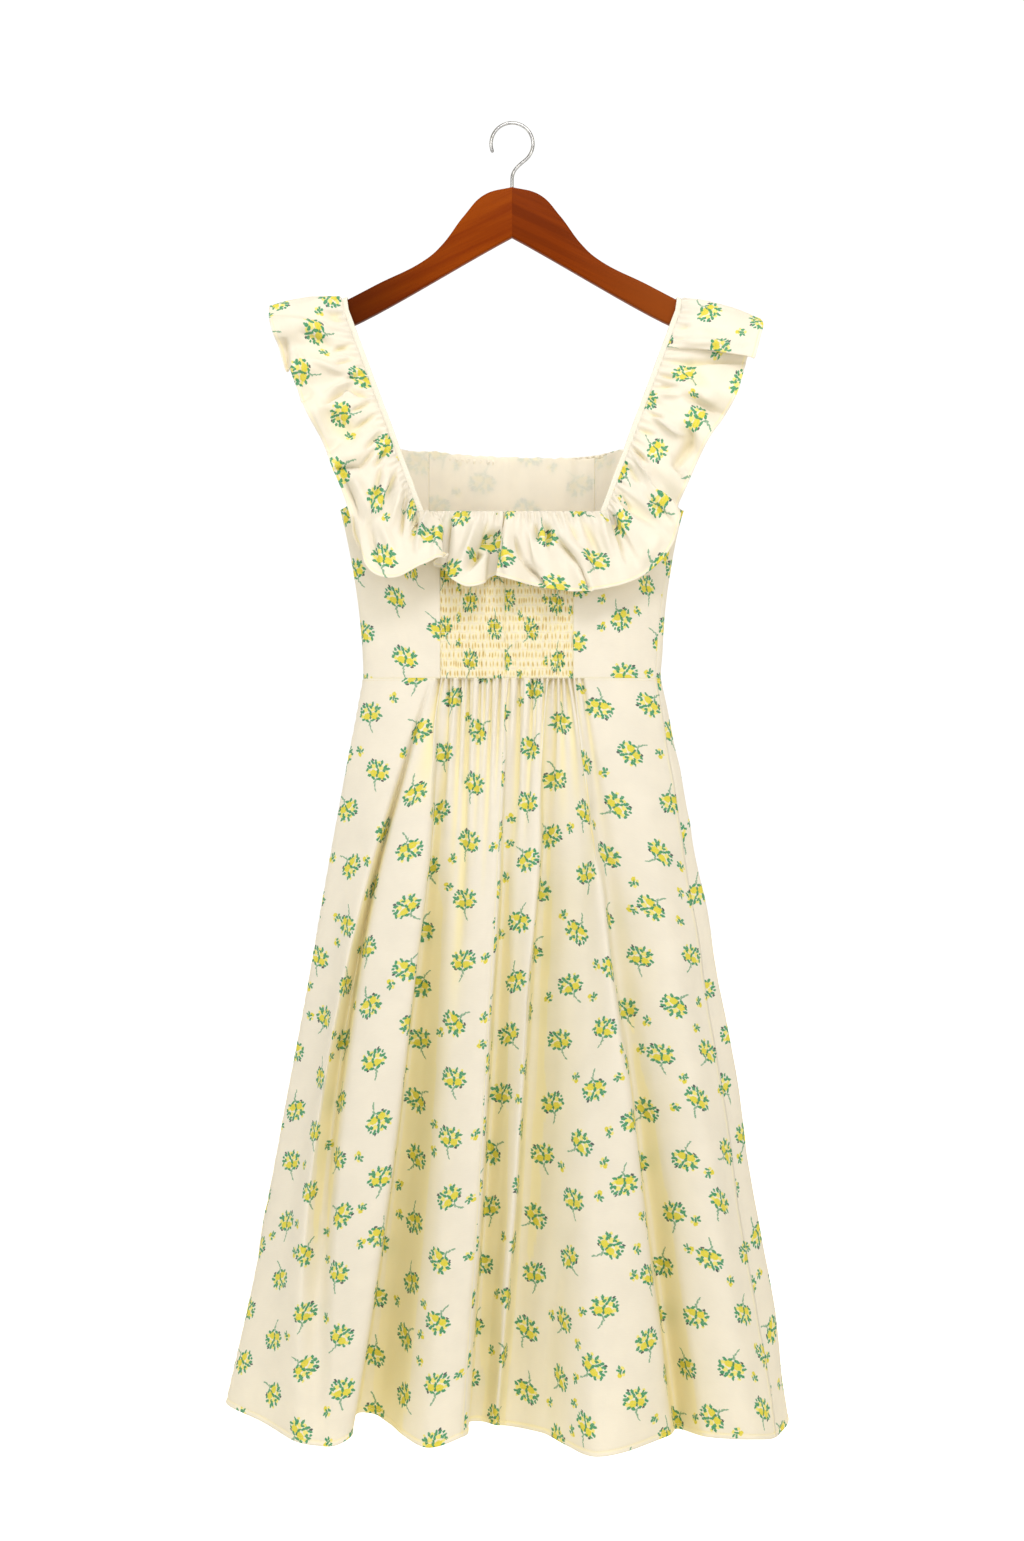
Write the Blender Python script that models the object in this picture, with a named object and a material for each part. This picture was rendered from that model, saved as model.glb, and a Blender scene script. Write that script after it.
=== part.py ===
"""A ruffle dress with a smocked back, hung from a wooden hanger.

The dress shows its back, which faces -Y. +X is the viewer's right and +Z is up.
The origin is where the hook rests on its rail. All sizes are in metres.
"""

import math

import bmesh
import bpy
import numpy as np

# Cloth and the gap left at each seam
CLOTH = 0.0014
SEAM_GAP = 0.0003

# The bodice, a flattened tube: half widths, half depths and heights below the rail
WAIST_Z = -0.5817
UNDERARM_Z = -0.405
BACK_NECK_Z = -0.4106
SHOULDER_Z = -0.193
WAIST_HALF_WIDTH = 0.156
CHEST_HALF_WIDTH = 0.180
BODY_HALF_DEPTH = 0.036
SHOULDER_HALF_DEPTH = 0.0152
BODY_SQUARENESS = 2.5
CHEST_FLARE = 1.8
BODICE_ROWS = 8

# Seams of the bodice: x of the smocking's edges, of the centre back and of the front's panels
SMOCK_LEFT_X = -0.0745
SMOCK_RIGHT_X = 0.0635
CENTRE_BACK_X = -0.0075
FRONT_PANEL_X = 0.088
RIGHT_SEAM_ANGLE = 2 * math.pi - 0.2834

# The front neckline: z at the centre, at the panel seams and at the straps
FRONT_NECK_XS = (0.0, 0.088, 0.1180, 0.1290)
FRONT_NECK_ZS = (-0.351, -0.345, -0.338, -0.338)
BACK_SHOULDER_Z = -0.335
FRONT_SHOULDER_Z = -0.300
ARMHOLE_CURVE = 1.7

# Smocking: upright tucks pinched by rows of elastic thread
TUCKS = 11
SMOCK_BANDS = 8
TUCK_PUFF = 0.0018
TUCK_PINCHED = 0.0007
SMOCK_PLAIN_TOP = 0.015

# Elastic straps: their feet on the back and front necklines and their top over the hanger's arm
STRAP_WIDTH = 0.009
STRAP_THICKNESS = 0.0024
STRAP_SIDE = 0.0048
STRAP_TO_PANEL = 0.0005
BACK_FOOT_X = 0.0957
FRONT_FOOT_X = 0.1235
STRAP_TOP_X = 0.1745
STRAP_TOP_Z = -0.198
STRAP_RISE = 0.0142
STRAP_LEAN = 0.002
STRAP_CLEAR_Y = 0.0090
STRAP_ROWS = 8
STRAP_ARCH_ROWS = 10
ARM_DIRECTION = (0.894, 0.0, -0.447)

# Ruffles
RUFFLE_ROWS = 4
RUFFLE_STEPS = 3
RUFFLE_SWELL = 0.006
RUFFLE_GATHER = 0.0011
RUFFLE_STAND_OFF = 0.0010
RUFFLE_ABOVE_NECK = 0.0010
RUFFLE_BACK_CORNER_X = 0.0985
RUFFLE_FRONT_CORNER_X = 0.1265
RUFFLE_FRONT_END_X = 0.0006
RUFFLE_SIDE_LEAN = 0.004
RUFFLE_UP_LEAN = 0.008
CENTRE_BACK_SLIT = 0.0012

# Skirt
SKIRT_ROWS = (0.0, 0.08, 0.20, 0.38, 0.58, 0.79, 1.0)
GATHER_PITCH = 0.009
LEAST_GATHER = 0.0058
GATHER_DEPTH = 0.0013
GATHER_FADE = 0.20
BACK_GATHERS = (-0.076, 0.070)
FRONT_GATHERS = (-0.080, 0.080)

# Hanger
ARM_HALF_THICKNESS = 0.006
ARM_ROUNDING = 0.0028
JOINT_GAP = 0.0003
HOOK_RADIUS = 0.022
HOOK_WIRE = 0.0018
SHANK_BOTTOM_Z = -0.090
SHANK_TOP_Z = -0.058
HOOK_NECK = 0.010
HOOK_START_TURN = math.radians(-50)
HOOK_END_TURN = math.radians(200)
SHANK_HOLE = 0.0021
HOLE_TOP_Z = -0.056

NEAR = -1
FAR = 1
GATHER_STEPS = 4
PLAIN_STEPS = {NEAR: 4, FAR: 3}

# Fold lines of the skirt, counter-clockwise seen from above, beginning at the left side seam.
# Each holds x at the waist, halfway down and at the hem, y halfway down and at the hem, and z of the hem.
BACK_FOLDS = (
    ("side_left", -0.156, -0.225, -0.298, 0.0, 0.0, -1.341),
    ("left_soft", -0.130, -0.202, -0.258, -0.030, -0.050, -1.348),
    ("crest_a", -0.087, -0.188, -0.219, -0.060, -0.095, -1.357),
    ("valley_a", -0.083, -0.176, -0.197, -0.036, -0.104, -1.3585),
    ("rise_a", -0.079, -0.163, -0.178, -0.064, -0.110, -1.357),
    ("crest_b", -0.0745, -0.110, -0.163, -0.082, -0.104, -1.350),
    ("valley_b", -0.0695, -0.105, -0.160, -0.030, -0.030, -1.344),
    ("floor_b", -0.0645, -0.092, -0.142, -0.036, -0.028, -1.346),
    ("rise_c", -0.0445, -0.0625, -0.084, -0.064, -0.106, -1.360),
    ("centre_seam", -0.006, -0.0245, -0.0505, -0.072, -0.100, -1.350),
    ("valley_d", -0.001, -0.0175, -0.0435, -0.042, -0.044, -1.350),
    ("rise_e", 0.0185, -0.003, -0.030, -0.054, -0.042, -1.3505),
    ("crest_e", 0.038, 0.013, -0.0165, -0.068, -0.058, -1.350),
    ("valley_e", 0.0425, 0.021, -0.005, -0.026, -0.032, -1.3575),
    ("floor_e", 0.0485, 0.0405, 0.033, -0.034, -0.048, -1.3605),
    ("rise_f", 0.056, 0.079, 0.085, -0.062, -0.128, -1.363),
    ("crest_f", 0.063, 0.111, 0.157, -0.076, -0.088, -1.3535),
    ("valley_f", 0.0695, 0.121, 0.172, -0.034, -0.034, -1.360),
    ("rise_g", 0.082, 0.1435, 0.199, -0.042, -0.072, -1.358),
    ("crest_g", 0.1135, 0.1825, 0.2425, -0.048, -0.086, -1.357),
    ("side_right", 0.151, 0.2125, 0.272, -0.018, -0.050, -1.364),
)
FRONT_FOLDS = (
    ("edge_right", 0.156, 0.229, 0.290, 0.0, 0.0, -1.355),
    ("crest_h", 0.130, 0.185, 0.246, 0.042, 0.066, -1.353),
    ("valley_i", 0.102, 0.148, 0.198, 0.034, 0.044, -1.354),
    ("crest_i", 0.095, 0.136, 0.182, 0.060, 0.090, -1.352),
    ("valley_j", 0.058, 0.090, 0.122, 0.036, 0.040, -1.350),
    ("crest_j", 0.052, 0.078, 0.104, 0.072, 0.104, -1.352),
    ("valley_k", 0.018, 0.022, 0.030, 0.040, 0.040, -1.350),
    ("crest_k", 0.012, 0.010, 0.012, 0.074, 0.096, -1.352),
    ("valley_l", -0.024, -0.038, -0.058, 0.040, 0.044, -1.350),
    ("crest_l", -0.030, -0.050, -0.075, 0.072, 0.104, -1.352),
    ("valley_m", -0.068, -0.106, -0.152, 0.036, 0.040, -1.350),
    ("crest_m", -0.075, -0.115, -0.165, 0.072, 0.098, -1.351),
    ("valley_n", -0.112, -0.172, -0.225, 0.030, 0.040, -1.349),
    ("crest_n", -0.120, -0.185, -0.246, 0.052, 0.078, -1.346),
)

# Ribs of the ruffles, a row for each crest and trough. The share is how far along the root the rib
# starts, then come its lower end's x, depth out from the middle plane and z.
# From the centre back to the top of the left shoulder, with x counted to the left:
LEFT_BACK_RIBS = (
    (0.0, 0.0103, 0.042, -0.4734),
    (0.025, 0.0247, 0.046, -0.480),
    (0.05, 0.0287, 0.066, -0.4866),
    (0.09, 0.0459, 0.072, -0.4902),
    (0.125, 0.0624, 0.066, -0.4815),
    (0.155, 0.071, 0.051, -0.470),
    (0.175, 0.080, 0.0415, -0.467),
    (0.195, 0.0815, 0.0475, -0.463),
    (0.222, 0.0644, 0.070, -0.4573),
    (0.243, 0.0937, 0.078, -0.4692),
    (0.265, 0.1204, 0.072, -0.481),
    (0.295, 0.1446, 0.060, -0.474),
    (0.335, 0.1597, 0.048, -0.446),
    (0.40, 0.1669, 0.050, -0.4153),
    (0.455, 0.1769, 0.038, -0.3863),
    (0.51, 0.1866, 0.046, -0.3625),
    (0.565, 0.198, 0.034, -0.334),
    (0.63, 0.2126, 0.044, -0.3075),
    (0.685, 0.2231, 0.030, -0.2817),
    (0.745, 0.2317, 0.040, -0.2602),
    (0.80, 0.2425, 0.024, -0.238),
    (0.86, 0.249, 0.032, -0.2215),
    (0.925, 0.2536, 0.016, -0.2042),
    (1.0, 0.2541, 0.0, -0.190),
)
# The same for the right shoulder, with x counted to the right:
RIGHT_BACK_RIBS = (
    (0.0, -0.0164, 0.064, -0.4784),
    (0.02, -0.001, 0.072, -0.483),
    (0.055, 0.0205, 0.060, -0.4882),
    (0.09, 0.0378, 0.070, -0.492),
    (0.125, 0.0616, 0.060, -0.4944),
    (0.17, 0.0787, 0.070, -0.4941),
    (0.215, 0.0955, 0.058, -0.4911),
    (0.26, 0.1157, 0.064, -0.4866),
    (0.30, 0.1369, 0.052, -0.4763),
    (0.335, 0.1551, 0.056, -0.4603),
    (0.375, 0.1672, 0.044, -0.4416),
    (0.415, 0.1721, 0.048, -0.4235),
    (0.47, 0.172, 0.034, -0.4044),
    (0.52, 0.1796, 0.044, -0.386),
    (0.575, 0.1919, 0.032, -0.3585),
    (0.63, 0.2033, 0.044, -0.3353),
    (0.685, 0.2191, 0.028, -0.3125),
    (0.735, 0.2317, 0.040, -0.2902),
    (0.785, 0.2426, 0.022, -0.2574),
    (0.81, 0.2481, 0.018, -0.2401),
    (0.835, 0.2498, 0.044, -0.253),
    (0.89, 0.257, 0.034, -0.2303),
    (0.945, 0.2621, 0.014, -0.2101),
    (1.0, 0.2573, 0.0, -0.2023),
)
# From the top of either shoulder down to the centre front:
FRONT_RIBS = (
    (0.06, 0.250, 0.014, -0.207),
    (0.13, 0.246, 0.030, -0.226),
    (0.20, 0.237, 0.020, -0.247),
    (0.27, 0.228, 0.038, -0.268),
    (0.34, 0.218, 0.024, -0.292),
    (0.41, 0.207, 0.042, -0.315),
    (0.48, 0.196, 0.030, -0.340),
    (0.545, 0.186, 0.050, -0.366),
    (0.60, 0.172, 0.044, -0.392),
    (0.65, 0.150, 0.062, -0.412),
    (0.70, 0.126, 0.048, -0.424),
    (0.76, 0.100, 0.066, -0.429),
    (0.82, 0.074, 0.050, -0.430),
    (0.88, 0.048, 0.068, -0.430),
    (0.94, 0.022, 0.052, -0.429),
    (1.0, RUFFLE_FRONT_END_X, 0.066, -0.428),
)

# One half of the hanger's outline, from the top of the joint round the arm's end and back.
# Each point holds x, z and whether the outline turns there or flows on.
ARM_OUTLINE = (
    (JOINT_GAP / 2, -0.0662, "turns"),
    (0.0294, -0.0746, "flows"),
    (0.0504, -0.0965, "flows"),
    (0.0735, -0.1270, "flows"),
    (0.0895, -0.1415, "flows"),
    (0.1428, -0.1690, "flows"),
    (0.1680, -0.1822, "flows"),
    (0.1900, -0.1934, "flows"),
    (0.2022, -0.2035, "flows"),
    (0.2020, -0.2150, "flows"),
    (0.1900, -0.2195, "flows"),
    (JOINT_GAP / 2, -0.1187, "turns"),
)

# Colours in linear light, roughness and metallic value
FINISHES = {
    "cloth": ((0.82, 0.74, 0.56), 0.85, 0.0),
    "strap": ((0.86, 0.82, 0.74), 0.80, 0.0),
    "wood_left": ((0.25, 0.065, 0.010), 0.38, 0.0),
    "wood_right": ((0.19, 0.045, 0.008), 0.38, 0.0),
    "metal": ((0.62, 0.60, 0.57), 0.25, 1.0),
}


def clear_scene():
    for old in list(bpy.data.objects):
        bpy.data.objects.remove(old, do_unlink=True)


def new_collection(name):
    made = bpy.data.collections.new(name)
    bpy.context.scene.collection.children.link(made)
    return made


def new_material(name):
    colour, roughness, metallic = FINISHES[name]
    made = bpy.data.materials.new(name)
    made.use_nodes = True
    shader = made.node_tree.nodes["Principled BSDF"]
    shader.inputs["Base Color"].default_value = (*colour, 1.0)
    shader.inputs["Roughness"].default_value = roughness
    shader.inputs["Metallic"].default_value = metallic
    return made


def between(low, high, share):
    return low + (high - low) * share


def unit(vectors):
    return vectors / np.linalg.norm(vectors, axis=-1, keepdims=True)


# Walls of cloth


def add_wall(name, outer, inner, material, mirrored=False):
    """A closed wall between two grids of points whose rows run down and columns counter-clockwise."""
    rows, columns = outer.shape[:2]
    points = np.concatenate([outer.reshape(-1, 3), inner.reshape(-1, 3)])
    if mirrored:
        points = points * (-1, 1, 1)

    def at(row, column, side):
        return side * rows * columns + row * columns + column

    faces = []
    for row in range(rows - 1):
        for column in range(columns - 1):
            corners = ((row, column), (row + 1, column), (row + 1, column + 1), (row, column + 1))
            faces.append([at(r, c, 0) for r, c in corners])
            faces.append([at(r, c, 1) for r, c in reversed(corners)])
    for row in range(rows - 1):
        last = columns - 1
        faces.append([at(row, 0, 0), at(row, 0, 1), at(row + 1, 0, 1), at(row + 1, 0, 0)])
        faces.append([at(row, last, 0), at(row + 1, last, 0), at(row + 1, last, 1), at(row, last, 1)])
    for column in range(columns - 1):
        low = rows - 1
        faces.append([at(0, column, 0), at(0, column + 1, 0), at(0, column + 1, 1), at(0, column, 1)])
        faces.append([at(low, column, 0), at(low, column, 1), at(low, column + 1, 1), at(low, column + 1, 0)])
    if mirrored:
        faces = [face[::-1] for face in faces]
    mesh = bpy.data.meshes.new(name)
    mesh.from_pydata(points.tolist(), [], faces)
    mesh.shade_smooth()
    mesh.set_sharp_from_angle(angle=math.radians(60))
    return add_mesh(name, mesh, material)


def add_mesh(name, mesh, material):
    made = bpy.data.objects.new(name, mesh)
    mesh.materials.clear()
    mesh.materials.append(material)
    PARTS.objects.link(made)
    return made


def open_seams(outer, inner):
    """The same grids with their first and last columns drawn back by half a seam's gap."""
    for grid in (outer, inner):
        for end, neighbour in ((0, 1), (-1, -2)):
            grid[:, end] += unit(grid[:, neighbour] - grid[:, end]) * SEAM_GAP / 2


def flowing_lines(lines, steps, closed):
    """Columns of a smooth surface through the given lines, an array of line, row and xyz.

    steps holds how many columns each gap between two lines is divided into.
    """
    count = len(lines)
    gaps = count if closed else count - 1
    following = np.roll(lines, -1, axis=0)
    knots = np.linalg.norm(following - lines, axis=2, keepdims=True) ** 0.5
    knots = np.maximum(knots, 1e-6)
    slopes = np.empty_like(lines)
    for index in range(count):
        before, after = (index - 1) % count, (index + 1) % count
        if not closed and index == 0:
            slopes[0] = (lines[1] - lines[0]) / knots[0]
        elif not closed and index == count - 1:
            slopes[index] = (lines[index] - lines[before]) / knots[before]
        else:
            back = (lines[index] - lines[before]) / knots[before]
            ahead = (lines[after] - lines[index]) / knots[index]
            across = (lines[after] - lines[before]) / (knots[before] + knots[index])
            slopes[index] = back + ahead - across
    columns = []
    for gap in range(gaps):
        after = (gap + 1) % count
        for step in range(steps[gap]):
            s = step / steps[gap]
            columns.append(
                (2 * s**3 - 3 * s**2 + 1) * lines[gap]
                + (s**3 - 2 * s**2 + s) * knots[gap] * slopes[gap]
                + (3 * s**2 - 2 * s**3) * lines[after]
                + (s**3 - s**2) * knots[gap] * slopes[after]
            )
    if not closed:
        columns.append(lines[-1])
    return np.array(columns).transpose(1, 0, 2)


def outward_normals(grid, closed):
    """Unit normals of a grid whose rows run down and columns counter-clockwise."""
    down = np.gradient(grid, axis=0)
    if closed:
        along = np.roll(grid, -1, axis=1) - np.roll(grid, 1, axis=1)
    else:
        along = np.gradient(grid, axis=1)
    return unit(np.cross(down, along))


# The bodice


def half_width(z):
    share = min(1.0, max(0.0, (z - WAIST_Z) / (UNDERARM_Z - WAIST_Z)))
    return between(WAIST_HALF_WIDTH, CHEST_HALF_WIDTH, share**CHEST_FLARE)


def half_depth(z):
    share = min(1.0, max(0.0, (z - BACK_NECK_Z) / (SHOULDER_Z - BACK_NECK_Z)))
    return between(BODY_HALF_DEPTH, SHOULDER_HALF_DEPTH, share)


def signed_power(value, power):
    return math.copysign(abs(value) ** power, value)


def body_point(angle, z):
    power = 2 / BODY_SQUARENESS
    x = half_width(z) * signed_power(math.cos(angle), power)
    y = half_depth(z) * signed_power(math.sin(angle), power)
    return np.array((x, y, z))


def body_normal(angle, z):
    power = 2 * (BODY_SQUARENESS - 1) / BODY_SQUARENESS
    x = signed_power(math.cos(angle), power) / half_width(z)
    y = signed_power(math.sin(angle), power) / half_depth(z)
    return unit(np.array((x, y, 0.0)))


def body_depth(x, z):
    """How far the bodice's outer face stands out from the middle plane at x."""
    share = min(1.0, abs(x) / half_width(z))
    return half_depth(z) * (1 - share**BODY_SQUARENESS) ** (1 / BODY_SQUARENESS)


def seam_at(x, side):
    """A seam's angle round the bodice as a function of z, for a seam that runs straight up at x."""

    def angle(z):
        share = signed_power(min(1.0, abs(x) / half_width(z)), BODY_SQUARENESS / 2)
        return 2 * math.pi + side * math.acos(math.copysign(share, x))

    return angle


def seam_round(angle):
    return lambda z: angle


def strap_slope(side):
    foot_x, foot_z = strap_foot(side)
    return (STRAP_TOP_Z - foot_z) / (STRAP_TOP_X - foot_x)


def strap_foot(side):
    if side == NEAR:
        return BACK_FOOT_X, BACK_NECK_Z + SEAM_GAP
    return FRONT_FOOT_X, float(np.interp(FRONT_FOOT_X, FRONT_NECK_XS, FRONT_NECK_ZS)) + SEAM_GAP


def shoulder_corner(side):
    """Where the bodice's edge along the strap ends and the armhole begins."""
    foot_x, foot_z = strap_foot(side)
    z = BACK_SHOULDER_Z if side == NEAR else FRONT_SHOULDER_Z
    return foot_x + STRAP_SIDE + STRAP_TO_PANEL + (z - foot_z) / strap_slope(side), z


def top_edge(x, side):
    """z of the bodice's upper edge: the neckline, then along the strap, then the armhole."""
    x = abs(x)
    foot_x, foot_z = strap_foot(side)
    corner_x, corner_z = shoulder_corner(side)
    edge_x = foot_x + STRAP_SIDE + STRAP_TO_PANEL
    if x <= edge_x:
        return BACK_NECK_Z if side == NEAR else float(np.interp(x, FRONT_NECK_XS, FRONT_NECK_ZS))
    if x <= corner_x:
        return foot_z - SEAM_GAP + (x - edge_x) * strap_slope(side)
    share = max(0.0, (CHEST_HALF_WIDTH - x) / (CHEST_HALF_WIDTH - corner_x))
    return UNDERARM_Z + (corner_z - UNDERARM_Z) * share**ARMHOLE_CURVE


def panel_shares(start, end, corners, columns):
    """Where the panel's columns lie across it, from 0 to 1, one of them on each corner of its edge."""
    stops = [line(UNDERARM_Z) for line in (start, *corners, end)]
    shares = [0.0]
    for index in range(len(stops) - 1):
        for step in range(columns[index]):
            stop = between(stops[index], stops[index + 1], (step + 1) / columns[index])
            shares.append((stop - stops[0]) / (stops[-1] - stops[0]))
    return shares


def bodice_panel(start, end, shares, rows, relief=None):
    """Outer and inner grids of a panel. relief raises the outer points alone."""
    outer = np.empty((rows + 1, len(shares), 3))
    inner = np.empty_like(outer)
    bottom = WAIST_Z + SEAM_GAP / 2
    for column, share in enumerate(shares):
        top = UNDERARM_Z
        for _ in range(6):
            angle = between(start(top), end(top), share)
            side = NEAR if angle < 2 * math.pi else FAR
            top = top_edge(body_point(angle, top)[0], side)
        for row in range(rows + 1):
            z = between(top, bottom, row / rows)
            angle = between(start(z), end(z), share)
            normal = body_normal(angle, z)
            point = body_point(angle, z)
            inner[row, column] = point - normal * CLOTH
            outer[row, column] = point + normal * (relief(column, row, top - z) if relief else 0.0)
    open_seams(outer, inner)
    return outer, inner


def smock_relief(column, row, below):
    """Each tuck is a ridge that puffs out between two elastic threads and is pinched on a thread."""
    if column % 2 == 0:
        return 0.0
    height = TUCK_PINCHED if row % 2 == 0 else TUCK_PUFF
    return height * min(1.0, max(0.0, below / SMOCK_PLAIN_TOP) ** 2)


def add_bodice():
    side_left = seam_round(math.pi)
    side_left_front = seam_round(3 * math.pi)
    side_right = seam_round(RIGHT_SEAM_ANGLE)
    smock_left = seam_at(SMOCK_LEFT_X, NEAR)
    smock_right = seam_at(SMOCK_RIGHT_X, NEAR)
    centre = seam_at(CENTRE_BACK_X, NEAR)
    panel_right = seam_at(FRONT_PANEL_X, FAR)
    panel_left = seam_at(-FRONT_PANEL_X, FAR)
    back_edge = BACK_FOOT_X + STRAP_SIDE + STRAP_TO_PANEL
    front_edge = FRONT_FOOT_X + STRAP_SIDE + STRAP_TO_PANEL
    back_corner = shoulder_corner(NEAR)[0]
    front_corner = shoulder_corner(FAR)[0]
    plain = (
        ("back_side_left", side_left, smock_left,
         (seam_at(-back_corner, NEAR), seam_at(-back_edge, NEAR)), (6, 3, 2)),
        ("back_side_right", smock_right, side_right,
         (seam_at(back_edge, NEAR), seam_at(back_corner, NEAR)), (2, 3, 5)),
        ("front_side_right", side_right, panel_right,
         (seam_round(2 * math.pi), seam_at(front_corner, FAR), seam_at(front_edge, FAR)), (2, 5, 2, 3)),
        ("front_centre", panel_right, panel_left, (), (12,)),
        ("front_side_left", panel_left, side_left_front,
         (seam_at(-front_edge, FAR), seam_at(-front_corner, FAR)), (3, 2, 6)),
    )
    for name, start, end, corners, columns in plain:
        shares = panel_shares(start, end, corners, columns)
        add_wall(name, *bodice_panel(start, end, shares, BODICE_ROWS), MATERIALS["cloth"])
    for name, start, end in (("smock_left", smock_left, centre), ("smock_right", centre, smock_right)):
        shares = [column / (2 * TUCKS) for column in range(2 * TUCKS + 1)]
        grids = bodice_panel(start, end, shares, 2 * SMOCK_BANDS, smock_relief)
        add_wall(name, *grids, MATERIALS["cloth"])


# The straps and the line that the ruffles hang from


def strap_depth(x, z):
    """Level with the bodice low down, and clear of the hanger's arm at the top."""
    return ((body_depth(x, z) - STRAP_THICKNESS / 2) ** 4 + STRAP_CLEAR_Y**4) ** 0.25


def strap_line():
    """The right strap from its back foot over the arm to its front foot: centres and width vectors."""
    low_across = np.array((STRAP_SIDE / (STRAP_WIDTH / 2), 0.0, 0.0))
    arm_across = np.array(ARM_DIRECTION)
    centres = []
    acrosses = []

    def add_straight(side, shares):
        foot_x, foot_z = strap_foot(side)
        for share in shares:
            x = between(foot_x, STRAP_TOP_X, share)
            z = between(foot_z, STRAP_TOP_Z, share)
            centres.append((x, side * strap_depth(x, z), z))
            acrosses.append(between(low_across, arm_across, share))

    rising = [row / STRAP_ROWS for row in range(STRAP_ROWS)]
    add_straight(NEAR, rising)
    top_depth = strap_depth(STRAP_TOP_X, STRAP_TOP_Z)
    for row in range(STRAP_ARCH_ROWS + 1):
        turn = math.pi * row / STRAP_ARCH_ROWS
        height = abs(math.sin(turn)) ** (2 / 3)
        y = -top_depth * signed_power(math.cos(turn), 2 / 3)
        centres.append((STRAP_TOP_X + STRAP_LEAN * height, y, STRAP_TOP_Z + STRAP_RISE * height))
        acrosses.append(arm_across)
    add_straight(FAR, rising[::-1])
    centres = np.array(centres)
    acrosses = np.array(acrosses)
    outs = unit(np.cross(acrosses, np.gradient(centres, axis=0)))
    outs[[0, -1], 2] = 0.0
    return centres, acrosses, outs


def add_straps():
    centres, acrosses, outs = strap_line()
    shares = np.array((-1.0, -0.8, 0.8, 1.0))
    halves = np.array((0.5, 1.0, 1.0, 0.5)) * STRAP_THICKNESS / 2
    flat = centres[:, None] + acrosses[:, None] * (shares * STRAP_WIDTH / 2)[None, :, None]
    lift = outs[:, None] * halves[None, :, None]
    outer = (flat + lift).transpose(1, 0, 2)
    inner = (flat - lift).transpose(1, 0, 2)
    for name, mirrored in (("strap_left", True), ("strap_right", False)):
        add_wall(name, outer, inner, MATERIALS["strap"], mirrored)


def ruffle_root(start_x):
    """The root of a right ruffle from centre back to centre front, and which point is the shoulder's top."""
    centres, acrosses, outs = strap_line()
    stand_off = STRAP_WIDTH / 2 + RUFFLE_STAND_OFF
    along_strap = centres + acrosses * stand_off + outs * (STRAP_THICKNESS / 2 + SEAM_GAP + CLOTH)
    top = STRAP_ROWS + STRAP_ARCH_ROWS // 2

    def neckline(xs, side):
        points = []
        for x in xs:
            z = top_edge(x, side) + RUFFLE_ABOVE_NECK
            points.append((x, side * (body_depth(x, z) + SEAM_GAP + CLOTH), z))
        return np.array(points)

    back_xs = np.linspace(start_x, RUFFLE_BACK_CORNER_X, 12)
    front_xs = np.linspace(RUFFLE_FRONT_CORNER_X, RUFFLE_FRONT_END_X, 12)
    back = np.concatenate([neckline(back_xs, NEAR), along_strap[1 : top + 1]])
    front = np.concatenate([along_strap[top + 1 : -1], neckline(front_xs, FAR)])
    return np.concatenate([back, front]), len(back) - 1


def distances_along(path):
    return np.concatenate([[0], np.cumsum(np.linalg.norm(np.diff(path, axis=0), axis=1))])


def points_along(path, distances):
    reached = distances_along(path)
    return np.stack([np.interp(distances, reached, path[:, axis]) for axis in range(3)], axis=1)


def add_ruffle(name, back_ribs, start_x, mirrored):
    path, top = ruffle_root(start_x)
    reached = distances_along(path)
    rib_distances = np.concatenate([
        reached[top] * np.array([rib[0] for rib in back_ribs]),
        between(reached[top], reached[-1], np.array([rib[0] for rib in FRONT_RIBS])),
    ])
    roots = points_along(path, rib_distances)
    edges = np.array(
        [(x, -depth, z) for _, x, depth, z in back_ribs] + [(x, depth, z) for _, x, depth, z in FRONT_RIBS]
    )
    swell = edges * (0, 1, 0) + (RUFFLE_SIDE_LEAN, 0, RUFFLE_UP_LEAN)
    middles = (roots + edges) / 2 + unit(swell) * 2 * RUFFLE_SWELL
    drop = np.linspace(0, 1, RUFFLE_ROWS + 1)[None, :, None]
    lines = (
        (1 - drop) ** 2 * roots[:, None]
        + 2 * drop * (1 - drop) * middles[:, None]
        + drop**2 * edges[:, None]
    )
    outer = flowing_lines(lines, [RUFFLE_STEPS] * (len(lines) - 1), closed=False)
    columns = np.arange(outer.shape[1])
    column_distances = np.interp(columns / RUFFLE_STEPS, np.arange(len(lines)), rib_distances)
    outer = outer + (1 - drop[0])[:, :, None] ** 2 * (points_along(path, column_distances) - outer[0])
    normals = outward_normals(outer, closed=False)
    ripple = np.sin(2 * math.pi * columns / RUFFLE_STEPS)
    fade = 4 * drop[0] * (1 - drop[0]) ** 2
    outer = outer + normals * (RUFFLE_GATHER * fade[:, :, None] * ripple[None, :, None])
    normals = outward_normals(outer, closed=False)
    normals[:, -1, 0] = 0.0
    add_wall(name, outer, outer - unit(normals) * CLOTH, MATERIALS["cloth"], mirrored)


def add_ruffles():
    add_ruffle("ruffle_left", LEFT_BACK_RIBS, CENTRE_BACK_SLIT - CENTRE_BACK_X, mirrored=True)
    add_ruffle("ruffle_right", RIGHT_BACK_RIBS, CENTRE_BACK_SLIT + CENTRE_BACK_X, mirrored=False)


# The skirt


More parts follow.
